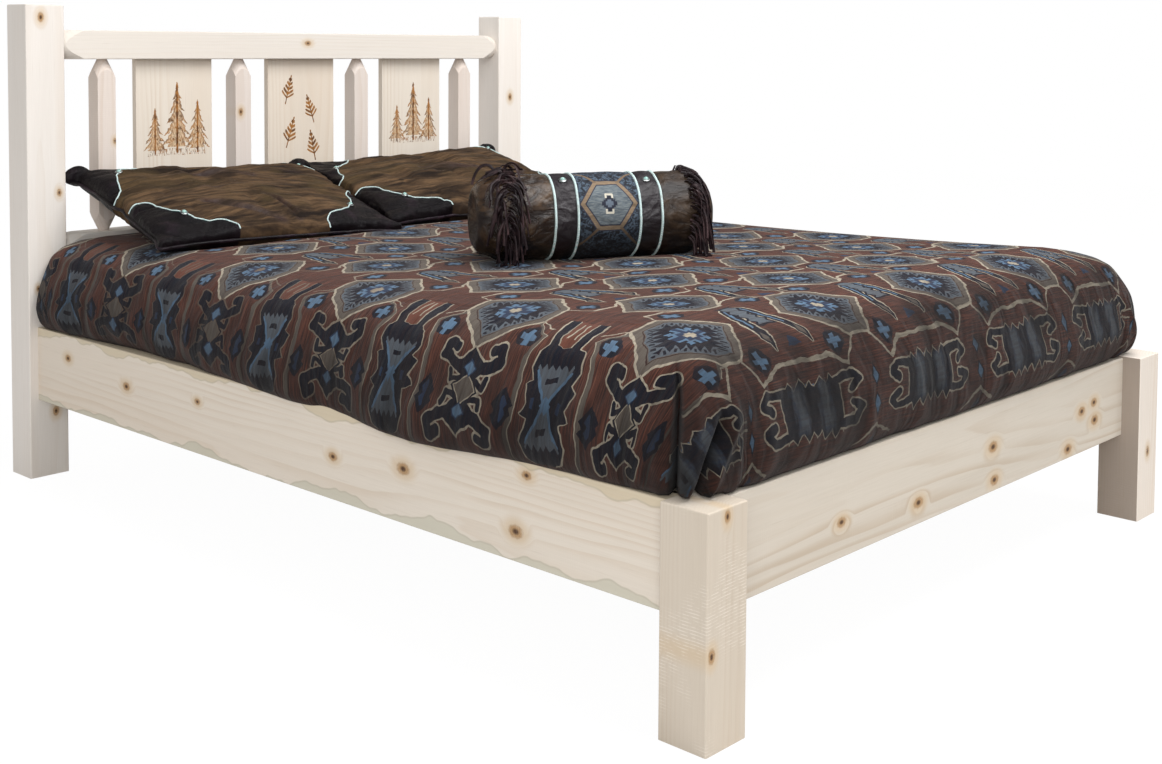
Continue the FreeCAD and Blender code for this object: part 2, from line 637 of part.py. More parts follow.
def leg_bolts():
    solids = []
    for y in leg_bolt_y:
        for z in leg_bolt_z:
            spot = FreeCAD.Vector(bolt_near_x, y, z)
            long = bolt_far_x - bolt_near_x + size("nut_tall") + size("bolt_proud")
            shank = Part.makeCylinder(size("bolt_dia")/2, long, spot, FreeCAD.Vector(1, 0, 0))
            solids.append(shank.fuse(hexagon(size("bolt_head_dia"), spot, size("bolt_head_tall"), -1)))
    return Part.makeCompound(solids)


def leg_nuts():
    solids = []
    for y in leg_bolt_y:
        for z in leg_bolt_z:
            spot = FreeCAD.Vector(bolt_far_x, y, z)
            bore = Part.makeCylinder(size("bolt_dia")/2 + size("fit_gap")/2, size("nut_tall"), spot,
                                     FreeCAD.Vector(1, 0, 0))
            solids.append(hexagon(size("bolt_head_dia"), spot, size("nut_tall"), 1).cut(bore))
    return Part.makeCompound(solids)


new_feature("slat_screws", slat_screws())
new_feature("cleat_screws", cleat_screws())
new_feature("bracket_screws", bracket_screws())
new_feature("leg_bolts", leg_bolts())
new_feature("leg_nuts", leg_nuts())


# Comforter: a soft shell over the mattress, lofted from the foot to the head.
# Its cross sections rise from the tucked hem over a bulge and a round shoulder to a low crown.

cover_hem_z = rail_top_z + size("rest_gap")
cover_foot_y = foot_rail_low_y - size("cover_foot_proud")
cover_head_y = head_face_y - size("cover_head_gap")
cover_half_x = size("bed_wide")/2 - size("cover_side_gap")
# shares of the section's height for the bulge, the waist, the shoulder and the crown's edge
bulge_share, waist_share, shoulder_share, crown_share = 0.22, 0.6, 0.86, 0.965
# shares of the shoulder's width for the same points
waist_in_share, shoulder_in_share = 0.15, 0.43
# the round ends: share of the run, share of height where the section starts and stops
foot_end_shares = [(0.007, 0.19, 0.33), (0.04, 0.13, 0.43), (0.09, 0.07, 0.54), (0.16, 0.02, 0.64),
                   (0.24, 0, 0.73), (0.38, 0, 0.82), (0.58, 0, 0.88), (0.85, 0, 0.93),
                   (1.2, 0, 0.975), (1.65, 0, 1)]
head_end_shares = [(1.5, 0, 1), (1, 0, 0.985), (0.44, 0, 0.93), (0.14, 0, 0.84), (0.02, 0.06, 0.68)]
# how much sooner a low end section fills out to its full width
end_fill_share = 1.4
# how far the hem swings out or in along each side, as shares of the wave
left_wave_shares = [-0.5, 0.1, -0.3, 0.35, 0, 0.3, -0.4, 0.1, -0.6, -0.2, -0.9, -0.3]
right_wave_shares = [0.2, -0.5, -0.1, -0.8, -0.3, 0.3, -0.2, 0.35, -0.6, -0.1, -0.5, 0]


def cover_top(y):
    # height of the crown's middle line at a place along the bed
    share = (y - cover_foot_y)/(cover_head_y - cover_foot_y)
    rise = size("cover_foot_rise")*(1 - share)**3 + size("cover_head_rise")*share**3
    return mattress_top_z + size("cover_mid_loft") + rise


def cover_half(inset, corner):
    # half the width at a distance from the end, rounded at the corners in plan
    reach = corner - min(inset, corner)
    return cover_half_x - corner + math.sqrt(corner*corner - reach*reach)


def cover_section(y, half, low_share, top_share, left_wave, right_wave):
    height = cover_top(y) - cover_hem_z
    low = cover_hem_z + height*low_share
    tall = height*(top_share - low_share)
    fill = top_share**end_fill_share
    shoulder = size("cover_shoulder")
    tuck = size("cover_tuck")

    def point(side, in_by, share, wave):
        return FreeCAD.Vector(side*(half - in_by + wave*size("cover_wave")), y, low + tall*share**fill)

    sides = []
    for side, wave in ((-1, left_wave), (1, right_wave)):
        sides.append([point(side, tuck, 0, wave), point(side, 0, bulge_share, wave),
                      point(side, shoulder*waist_in_share, waist_share, wave/2),
                      point(side, shoulder*shoulder_in_share, shoulder_share, 0),
                      point(side, shoulder, crown_share, 0)])
    left, right = sides
    middle = FreeCAD.Vector(0, y, low + tall)
    edges = [Part.Arc(left[0], left[1], left[2]).toShape(), Part.Arc(left[2], left[3], left[4]).toShape(),
             Part.Arc(left[4], middle, right[4]).toShape(), Part.Arc(right[4], right[3], right[2]).toShape(),
             Part.Arc(right[2], right[1], right[0]).toShape(), Part.LineSegment(right[0], left[0]).toShape()]
    return Part.Wire(edges)


def cover_stations():
    stations = []
    run = size("cover_foot_run")
    for share, low, top in foot_end_shares:
        half = cover_half(run*share, size("cover_foot_corner"))
        stations.append((cover_foot_y + run*share, half, low, top, 0, 0))
    first = cover_foot_y + run*foot_end_shares[-1][0]
    head_run = size("cover_head_run")
    last = cover_head_y - head_run*head_end_shares[0][0]
    count = len(left_wave_shares)
    for n, (left, right) in enumerate(zip(left_wave_shares, right_wave_shares), start=1):
        y = first + (last - first)*n/(count + 1)
        stations.append((y, cover_half_x, 0, 1, left, right))
    for share, low, top in head_end_shares:
        half = cover_half(head_run*share, size("cover_head_corner"))
        stations.append((cover_head_y - head_run*share, half, low, top, 0, 0))
    return stations


def rounded_block(wide, deep, tall, corner, edge, base):
    shape = Part.makeBox(wide, deep, tall, base)
    shape = shape.makeFillet(corner, [item for item in shape.Edges if runs_along(item, 2)])
    top = base.z + tall
    rim = [item for item in shape.Edges if item.BoundBox.ZMin > top - edge/100]
    return shape.makeFillet(edge, rim)


def fold_cutters():
    # narrow creases where the hem is gathered round the two foot corners
    cutters = []
    corner = size("cover_foot_corner")
    for side in (-1, 1):
        centre = FreeCAD.Vector(side*(cover_half_x - corner), cover_foot_y + corner, 0)
        for turn in (18, 38, 56, 74):
            out = FreeCAD.Vector(side*math.cos(math.radians(turn)), -math.sin(math.radians(turn)), 0)
            foot = centre + out*corner + up*cover_hem_z
            lean = up*size("fold_tall") - out*(size("fold_tall")*0.12)
            cutters.append(Part.makeCone(size("fold_wide")/2, size("fold_wide")/8, lean.Length, foot, lean))
    return cutters


def comforter():
    sections = [cover_section(*station) for station in cover_stations()]
    shell = Part.makeLoft(sections, True, True)
    gap = size("fit_gap")
    half = rail_inner_x - size("mattress_side_gap") + gap
    start = foot_rail_low_y + size("rail_thick") + size("mattress_foot_gap") - gap
    stop = head_face_y - size("mattress_head_gap") + gap
    core = rounded_block(2*half, stop - start, size("mattress_thick") + gap, size("mattress_corner") + gap,
                         size("mattress_edge") + gap, FreeCAD.Vector(-half, start, slat_top_z))
    shell = shell.cut(core)
    post = size("post_size") + size("rest_gap")
    for side in (-1, 1):
        x = -size("bed_wide")/2 if side < 0 else size("bed_wide")/2 - post
        notch = Part.makeBox(post, post, size("foot_post_tall") + size("rest_gap"),
                             FreeCAD.Vector(x, -size("bed_long")/2, 0))
        shell = shell.cut(notch)
    for cutter in fold_cutters():
        shell = shell.cut(cutter)
    return shell.Solids[0] if len(shell.Solids) == 1 else shell


new_feature("comforter", comforter())


# Pillows: lens sections lofted across the width, trimmed to an outline whose sides draw in.
# They lie back on the headboard, with the near edge on the comforter.

pillow_lean_deg = 16.7
pillow_yaw_deg = {"pillow_left": -3.0, "pillow_right": -2.6}
# shares of the bed's width from its middle line
pillow_place_shares = {"pillow_left": -0.2345, "pillow_right": 0.1964}
pillow_across_shares = [0, 0.1, 0.25, 0.42, 0.58, 0.75, 0.9, 1]
pillow_fill_shares = [0, 0.5, 0.84, 1, 1, 0.84, 0.5, 0]


def pillow_shape():
    wide, deep, rim = size("pillow_wide"), size("pillow_deep"), size("pillow_rim")
    over_full, under_full = size("pillow_over"), size("pillow_under")
    sections = []
    for across, fill in zip(pillow_across_shares, pillow_fill_shares):
        x = wide*(across - 0.5)
        low, high = FreeCAD.Vector(x, -deep/2, -rim/2), FreeCAD.Vector(x, deep/2, -rim/2)
        low_top, high_top = low + up*rim, high + up*rim
        crest = FreeCAD.Vector(x, 0, rim + (over_full - rim)*fill)
        belly = FreeCAD.Vector(x, 0, -rim - (under_full - rim)*fill)
        sections.append(Part.Wire([Part.Arc(low_top, crest, high_top).toShape(),
                                   Part.LineSegment(high_top, high).toShape(),
                                   Part.Arc(high, belly, low).toShape(),
                                   Part.LineSegment(low, low_top).toShape()]))
    body = Part.makeLoft(sections, True, False)
    draw = size("pillow_draw")
    level = -2*under_full
    corners = [FreeCAD.Vector(sx*wide/2, sy*deep/2, level) for sx, sy in ((-1, -1), (1, -1), (1, 1), (-1, 1))]
    middles = [FreeCAD.Vector(0, draw - deep/2, level), FreeCAD.Vector(wide/2 - draw, 0, level),
               FreeCAD.Vector(0, deep/2 - draw, level), FreeCAD.Vector(draw - wide/2, 0, level)]
    rim_edges = [Part.Arc(corners[i], middles[i], corners[(i + 1) % 4]).toShape() for i in range(4)]
    trim = Part.Face(Part.Wire(rim_edges)).extrude(up*(over_full - level)*2)
    return body.common(trim).Solids[0]


def cover_height(x, y):
    # the comforter's top surface, away from its round ends
    top = cover_top(y)
    edge = cover_half_x - size("cover_shoulder")
    drop = (top - cover_hem_z)*(1 - crown_share)
    radius = (edge*edge + drop*drop)/(2*drop)
    if abs(x) > edge:
        return top - drop - (abs(x) - edge)*drop/edge
    return top - radius + math.sqrt(radius*radius - x*x)


def seat_height(shape, turn, x, y):
    # lowest lift that keeps the turned shape clear of the comforter, from points on its skin
    posed = shape.copy()
    posed.Placement = FreeCAD.Placement(FreeCAD.Vector(x, y, 0), turn)
    points, _ = posed.tessellate(size("rest_gap")*2)
    return max(cover_height(point.x, point.y) - point.z for point in points) + size("rest_gap")


def lean_back(shape, turn, x):
    # sets the pillow's far rim just short of the headboard bars' front, so that it lifts past them
    posed = shape.copy()
    posed.Placement = FreeCAD.Placement(FreeCAD.Vector(x, 0, 0), turn)
    points, _ = posed.tessellate(size("rest_gap")*2)
    front = head_face_y + size("post_size")/2 - size("bar_size")/2
    y = front - size("rest_gap") - max(point.y for point in points)
    return FreeCAD.Placement(FreeCAD.Vector(x, y, seat_height(shape, turn, x, y)), turn)


for label, yaw in pillow_yaw_deg.items():
    turn = FreeCAD.Rotation(yaw, 0, pillow_lean_deg)
    shape = pillow_shape()
    item = new_feature(label, shape)
    item.Placement = lean_back(shape, turn, size("bed_wide")*pillow_place_shares[label])


# Bolster: a stuffed roll with dished ends, lying across the middle and a little flat underneath

bolster_yaw_deg = -30
# shares of the bed's width and length from its middle
bolster_across_share, bolster_along_share = -0.0667, -0.0848


def bolster_shape():
    radius, long = size("bolster_dia")/2, size("bolster_long")
    soft, dish = size("bolster_end_soft"), size("bolster_end_dish")
    run = size("bolster_end_run")
    body_r = radius - size("bolster_barrel")
    end_r = body_r - size("bolster_end_taper")
    cut_in = soft*(1 - math.cos(math.radians(45)))

    def at(side, in_by, r):
        return FreeCAD.Vector(side*(long/2 - in_by), 0, r)

    edges = [Part.Arc(at(-1, run, body_r), at(-1, long/2, radius), at(1, run, body_r)).toShape(),
             Part.LineSegment(at(1, dish, 0), at(-1, dish, 0)).toShape()]
    for side in (-1, 1):
        edges.append(Part.LineSegment(at(side, dish, 0), at(side, 0, end_r - soft)).toShape())
        edges.append(Part.Arc(at(side, 0, end_r - soft), at(side, cut_in, end_r - cut_in),
                              at(side, soft, end_r)).toShape())
        edges.append(Part.LineSegment(at(side, soft, end_r), at(side, run, body_r)).toShape())
    profile = Part.Face(Part.Wire(Part.__sortEdges__(edges)))
    roll = profile.revolve(FreeCAD.Vector(0, 0, 0), FreeCAD.Vector(1, 0, 0), 360)
    keep = Part.makeBox(2*long, 4*radius, 4*radius,
                        FreeCAD.Vector(-long, -2*radius, -radius + size("bolster_flat")))
    return roll.common(keep).Solids[0]


roll_x, roll_y = size("bed_wide")*bolster_across_share, size("bed_long")*bolster_along_share
roll_turn = FreeCAD.Rotation(bolster_yaw_deg, 0, 0)
roll_shape = bolster_shape()
roll = new_feature("bolster", roll_shape)
roll_z = seat_height(roll_shape, roll_turn, roll_x, roll_y)
roll.Placement = FreeCAD.Placement(FreeCAD.Vector(roll_x, roll_y, roll_z), roll_turn)


# Checks before anything is written

doc.recompute()
problems = []
for item in doc.Objects:
    if "Invalid" in item.State or "Error" in item.State:
        problems.append(f"{item.Label} failed to build")
    if item.TypeId in ("PartDesign::Pocket", "PartDesign::Groove"):
        if item.Shape.Volume >= item.BaseFeature.Shape.Volume:
            problems.append(f"{item.Label} of {item.getParentGeoFeatureGroup().Label} cuts nothing")
subparts = [item for item in doc.Objects if item.TypeId in ("PartDesign::Body", "Part::Feature")]
subparts = [item for item in subparts if item.getParentGeoFeatureGroup() is None]
for item in subparts:
    if item.Shape.isNull() or not item.Shape.isValid():
        problems.append(f"{item.Label} has no valid shape")
    if item.TypeId == "PartDesign::Body" and len(item.Shape.Solids) != 1:
        problems.append(f"{item.Label} is {len(item.Shape.Solids)} solids")
if problems:
    raise RuntimeError("; ".join(problems))

os.makedirs("parts", exist_ok=True)
for item in subparts:
    item.Shape.exportStep(f"parts/{item.Label}.step")
    box = item.Shape.BoundBox
    print(f"{item.Label}: {len(item.Shape.Solids)} solid, {item.Shape.Volume/1000:.1f} cm3, "
          f"z {box.ZMin:.1f} to {box.ZMax:.1f}")
print(f"{len(subparts)} sub-parts written")
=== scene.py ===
import math

import bmesh
import bpy
import numpy as np
from mathutils import Matrix, Vector
from mathutils.bvhtree import BVHTree


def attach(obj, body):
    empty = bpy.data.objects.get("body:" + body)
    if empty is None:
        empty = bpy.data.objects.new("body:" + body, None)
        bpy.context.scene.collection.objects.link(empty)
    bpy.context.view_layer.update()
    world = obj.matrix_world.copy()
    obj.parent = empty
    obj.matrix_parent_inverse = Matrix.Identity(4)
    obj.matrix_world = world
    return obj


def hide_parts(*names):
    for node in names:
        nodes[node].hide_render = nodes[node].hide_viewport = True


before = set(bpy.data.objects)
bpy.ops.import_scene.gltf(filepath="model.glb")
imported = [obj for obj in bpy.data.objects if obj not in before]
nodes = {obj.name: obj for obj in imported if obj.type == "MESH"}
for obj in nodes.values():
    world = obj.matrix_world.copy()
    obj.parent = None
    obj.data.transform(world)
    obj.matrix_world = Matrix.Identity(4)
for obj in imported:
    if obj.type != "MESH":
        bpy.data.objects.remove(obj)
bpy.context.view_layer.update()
print("frame loaded:", len(nodes), "nodes")


# meshes

def addObject(name, data):
    obj = bpy.data.objects.new(name, data)
    bpy.context.scene.collection.objects.link(obj)
    return obj


def makeObject(name, verts, faces, mats=()):
    mesh = bpy.data.meshes.new(name)
    mesh.from_pydata([tuple(v) for v in verts], [], [tuple(f) for f in faces])
    mesh.validate()
    for mat in mats:
        mesh.materials.append(mat)
    mesh.shade_smooth()
    return addObject(name, mesh)


def ringFaces(rows, count, base=0):
    # quads between rows of points that each run once round
    faces = []
    for r in range(rows - 1):
        for k in range(count):
            a, b = base + r * count + k, base + r * count + (k + 1) % count
            faces.append((a, b, b + count, a + count))
    return faces


def around(count):
    return [2 * math.pi * k / count for k in range(count)]


def tubes(name, paths, radius, closed=False, kind="NURBS"):
    # round cords along paths, as one mesh
    data = bpy.data.curves.new(name, "CURVE")
    data.dimensions = "3D"
    data.bevel_depth, data.bevel_resolution, data.use_fill_caps = radius, 3, not closed
    for path in paths:
        line = data.splines.new(kind)
        line.points.add(len(path) - 1)
        for point, co in zip(line.points, path):
            point.co = (*co, 1)
        line.order_u, line.resolution_u = 3, 2
        line.use_cyclic_u, line.use_endpoint_u = closed, not closed
    curve = addObject(name, data)
    bpy.context.view_layer.update()
    mesh = bpy.data.meshes.new_from_object(curve)
    bpy.data.objects.remove(curve)
    mesh.shade_smooth()
    return addObject(name, mesh)


def bakeModifiers(obj):
    # the evaluated mesh takes the place of the one with live modifiers
    deps = bpy.context.evaluated_depsgraph_get()
    deps.update()
    made = bpy.data.meshes.new_from_object(obj.evaluated_get(deps), preserve_all_data_layers=True, depsgraph=deps)
    old = obj.data
    obj.modifiers.clear()
    obj.data = made
    made.name = obj.name
    bpy.data.meshes.remove(old)
    return obj


def subdivide(obj):
    mod = obj.modifiers.new("Subdivision", "SUBSURF")
    mod.levels = mod.render_levels = 1
    return bakeModifiers(obj)


def weld(obj, distance):
    bm = bmesh.new()
    bm.from_mesh(obj.data)
    bmesh.ops.remove_doubles(bm, verts=bm.verts, dist=distance)
    bmesh.ops.dissolve_degenerate(bm, edges=bm.edges, dist=1e-6)
    bmesh.ops.recalc_face_normals(bm, faces=bm.faces)
    print(obj.name, "open or crowded edges:", sum(len(e.link_faces) != 2 for e in bm.edges))
    bm.to_mesh(obj.data)
    bm.free()


def layUv(obj, uvList, name):
    layer = obj.data.uv_layers.new(name=name)
    for loop in obj.data.loops:
        layer.data[loop.index].uv = uvList[loop.vertex_index]


def pointsOf(obj):
    return np.array([v.co for v in obj.data.vertices])


def putPoints(obj, points):
    obj.data.vertices.foreach_set("co", points.astype(np.float32).ravel())
    obj.data.update()


def surfaceOf(obj):
    mesh = obj.data
    return BVHTree.FromPolygons([v.co.copy() for v in mesh.vertices], [tuple(p.vertices) for p in mesh.polygons])


# numbers

def smoothStep(a, b, x):
    t = np.clip((np.asarray(x, float) - a) / (b - a), 0, 1)
    return t * t * (3 - 2 * t)


def resample(points, count):
    # the polyline's points spaced evenly along its length, with the lengths
    pts = np.asarray(points, float)
    steps = np.r_[0, np.cumsum(np.linalg.norm(np.diff(pts, axis=0), axis=1))]
    at = np.linspace(0, steps[-1], count)
    return np.stack([np.interp(at, steps, pts[:, k]) for k in range(pts.shape[1])], -1), at


class Noise3:
    # smooth value noise on a seeded lattice, for shapes rather than colours
    def __init__(self, seed, size=24):
        self.size = size
        self.grid = np.random.default_rng(seed).uniform(-1, 1, (size, size, size))

    def __call__(self, points, scale):
        p = np.asarray(points, float) / scale
        base = np.floor(p).astype(int)
        f = p - base
        f = f * f * (3 - 2 * f)
        total = 0
        for corner in np.ndindex(2, 2, 2):
            w = [np.where(far, f[..., k], 1 - f[..., k]) for k, far in enumerate(corner)]
            i = (base + corner) % self.size
            total = total + w[0] * w[1] * w[2] * self.grid[i[..., 0], i[..., 1], i[..., 2]]
        return total


# camera

view = dict(at=(-2.59645, -2.60206, 1.10689), yaw=48.88, pitch=2.88, roll=0.51,
            lens=46.47, sensor=36, shiftX=-0.0761, shiftY=-0.2252, near=0.05, far=60)


def makeCamera(s):
    yaw, pitch, roll = (math.radians(s[k]) for k in ("yaw", "pitch", "roll"))
    ahead = Vector((math.sin(yaw) * math.cos(pitch), math.cos(yaw) * math.cos(pitch), -math.sin(pitch)))
    flat = Vector((math.cos(yaw), -math.sin(yaw), 0))
    over = flat.cross(ahead)
    right = math.cos(roll) * flat + math.sin(roll) * over
    up = math.cos(roll) * over - math.sin(roll) * flat
    data = bpy.data.cameras.new("photoCamera")
    data.sensor_fit = "HORIZONTAL"
    data.sensor_width, data.lens = s["sensor"], s["lens"]
    data.shift_x, data.shift_y = s["shiftX"], s["shiftY"]
    data.clip_start, data.clip_end = s["near"], s["far"]
    camera = addObject("photoCamera", data)
    camera.matrix_world = Matrix((*zip(right, up, -ahead, s["at"]), (0, 0, 0, 1)))
    bpy.context.scene.camera = camera


makeCamera(view)


# shaders

def linear(*rgb):
    # 0 to 255 display values as scene linear
    out = [c / 255 for c in rgb]
    return tuple(c / 12.92 if c <= 0.04045 else ((c + 0.055) / 1.055) ** 2.4 for c in out)


def colours(**table):
    return {key: linear(*rgb) for key, rgb in table.items()}


def feed(tree, slot, value):
    if isinstance(value, Wire):
        tree.links.new(value.socket, slot)
    elif slot.type == "RGBA":
        slot.default_value = (*value[:3], 1.0)
    elif slot.type == "VECTOR" and not hasattr(value, "__len__"):
        slot.default_value = (value,) * 3
    else:
        slot.default_value = value


def addNode(tree, kind, settings=None, values=(), out=0):
    # settings first, then values or links: in the order of the open sockets, or by name
    node = tree.nodes.new("ShaderNode" + kind)
    for key, value in (settings or {}).items():
        setattr(node, key, value)
    if not isinstance(values, dict):
        values = dict(zip([k for k, s in enumerate(node.inputs) if s.enabled], values))
    for key, value in values.items():
        feed(tree, node.inputs[key], value)
    return Wire(tree, node.outputs[out] if out else next(s for s in node.outputs if s.enabled))


class Wire:
    # one output inside a material; arithmetic on it adds Math nodes
    def __init__(self, tree, socket):
        self.tree, self.socket = tree, socket

    def do(self, operation, *others, clamp=False):
        return addNode(self.tree, "Math", dict(operation=operation, use_clamp=clamp), (self,) + others)

    def __add__(self, other): return self.do("ADD", other)
    def __radd__(self, other): return self.do("ADD", other)
    def __sub__(self, other): return self.do("SUBTRACT", other)
    def __rsub__(self, other): return self.do("MULTIPLY_ADD", -1.0, other)
    def __mul__(self, other): return self.do("MULTIPLY", other)
    def __rmul__(self, other): return self.do("MULTIPLY", other)
    def __truediv__(self, other): return self.do("DIVIDE", other)
    def __abs__(self): return self.do("ABSOLUTE")
    def below(self, other): return self.do("LESS_THAN", other)
    def above(self, other): return self.do("GREATER_THAN", other)
    def least(self, other): return self.do("MINIMUM", other)
    def most(self, other): return self.do("MAXIMUM", other)

    def step(self, low, high, toLow=0.0, toHigh=1.0):
        # smooth step between two values
        return addNode(self.tree, "MapRange", dict(interpolation_type="SMOOTHSTEP"), (self, low, high, toLow, toHigh))

    def part(self, period=1.0):
        # how far value / period is past its last whole number
        return (self if period == 1.0 else self / period).do("FRACT")


def extreme(masks, kind="most"):
    # the masks' common maximum, or minimum
    out = masks[0]
    for mask in masks[1:]:
        out = getattr(out, kind)(mask)
    return out


class Paint:
    # a material and the nodes that feed its shader
    def __init__(self, name, **fixed):
        self.mat = bpy.data.materials.new(name)
        self.mat.use_nodes = True
        self.tree = self.mat.node_tree
        self.shader = next(n for n in self.tree.nodes if n.type == "BSDF_PRINCIPLED")
        for key, value in fixed.items():
            self.set(key.replace("_", " "), value)

    def set(self, name, value):
        feed(self.tree, self.shader.inputs[name], value)

    def finish(self, colour, rough, normal):
        for name, value in (("Base Color", colour), ("Roughness", rough), ("Normal", normal)):
            self.set(name, value)
        return self.mat

    def node(self, kind, settings=None, values=(), out=0):
        return addNode(self.tree, kind, settings, values, out)

    def place(self):
        return self.node("TexCoord", out="Object")

    def axes(self, vector):
        return [Wire(self.tree, s) for s in self.node("SeparateXYZ", values=(vector,)).socket.node.outputs]

    def join(self, x, y, z=0.0):
        return self.node("CombineXYZ", values=(x, y, z))

    def vector(self, operation, *values):
        return self.node("VectorMath", dict(operation=operation), values)

    def noise(self, vector, scale, detail=2.0, rough=0.5, warp=0.0, out="Fac", stretch=None):
        if stretch:
            vector = self.vector("MULTIPLY", vector, stretch)
        return self.node("TexNoise", None, dict(Vector=vector, Scale=scale, Detail=detail, Roughness=rough,
                                                Distortion=warp), out)

    def cells(self, vector, scale, feature="F1", out="Distance"):
        return self.node("TexVoronoi", dict(feature=feature), dict(Vector=vector, Scale=scale), out)

    def mix(self, share, a, b):
        return self.node("Mix", dict(data_type="RGBA"), (share, a, b))

    def coats(self, colour, *layers):
        # each (mask, tone) over what lies below
        for mask, tone in layers:
            colour = self.mix(mask, colour, tone)
        return colour

    def ramp(self, value, stops):
        # bands of flat colour
        out = self.node("ValToRGB", values=(value,))
        ramp = out.socket.node.color_ramp
        ramp.interpolation = "CONSTANT"
        while len(ramp.elements) < len(stops):
            ramp.elements.new(0.5)
        for mark, (at, colour) in zip(ramp.elements, stops):
            mark.position, mark.color = at, (*colour[:3], 1.0)
        return out

    def curve(self, value, points):
        # a straight-lined graph, read at value
        out = self.node("FloatCurve", None, dict(Value=value))
        line = out.socket.node.mapping.curves[0]
        while len(line.points) < len(points):
            line.points.new(0.5, 0.5)
        for mark, place in zip(line.points, points):
            mark.location, mark.handle_type = place, "VECTOR"
        out.socket.node.mapping.update()
        return out

    def bump(self, height, strength, distance, below=None):
        under = {} if below is None else dict(Normal=below)
        return self.node("Bump", None, dict(Strength=strength, Distance=distance, Height=height, **under))

    def segment(self, point, a, b):
        # distance from point to the line between a and b
        run = (b[0] - a[0], b[1] - a[1], 0.0)
        away = self.vector("SUBTRACT", point, (*a, 0.0))
        share = self.vector("DOT_PRODUCT", away, run).do("MULTIPLY", 1 / (run[0] ** 2 + run[1] ** 2), clamp=True)
        return self.vector("DISTANCE", away, self.vector("MULTIPLY", self.join(share, share), run))


# pine

pine = dict(colours(early=(228, 218, 205), late=(205, 184, 160), warm=(222, 204, 184), grey=(206, 195, 180),
                    fleck=(182, 160, 136), knot=(186, 152, 112), rim=(136, 97, 64), pith=(84, 57, 38),
                    halo=(208, 182, 146), sawn=(238, 230, 220), bark=(150, 142, 118), singed=(206, 164, 104),
                    burnt=(92, 54, 22), scorched=(158, 104, 46), shaded=(96, 74, 54)),
            ring=0.0068, wander=9.0, rough=0.62, sawPitch=1150, panelFront=1.1)


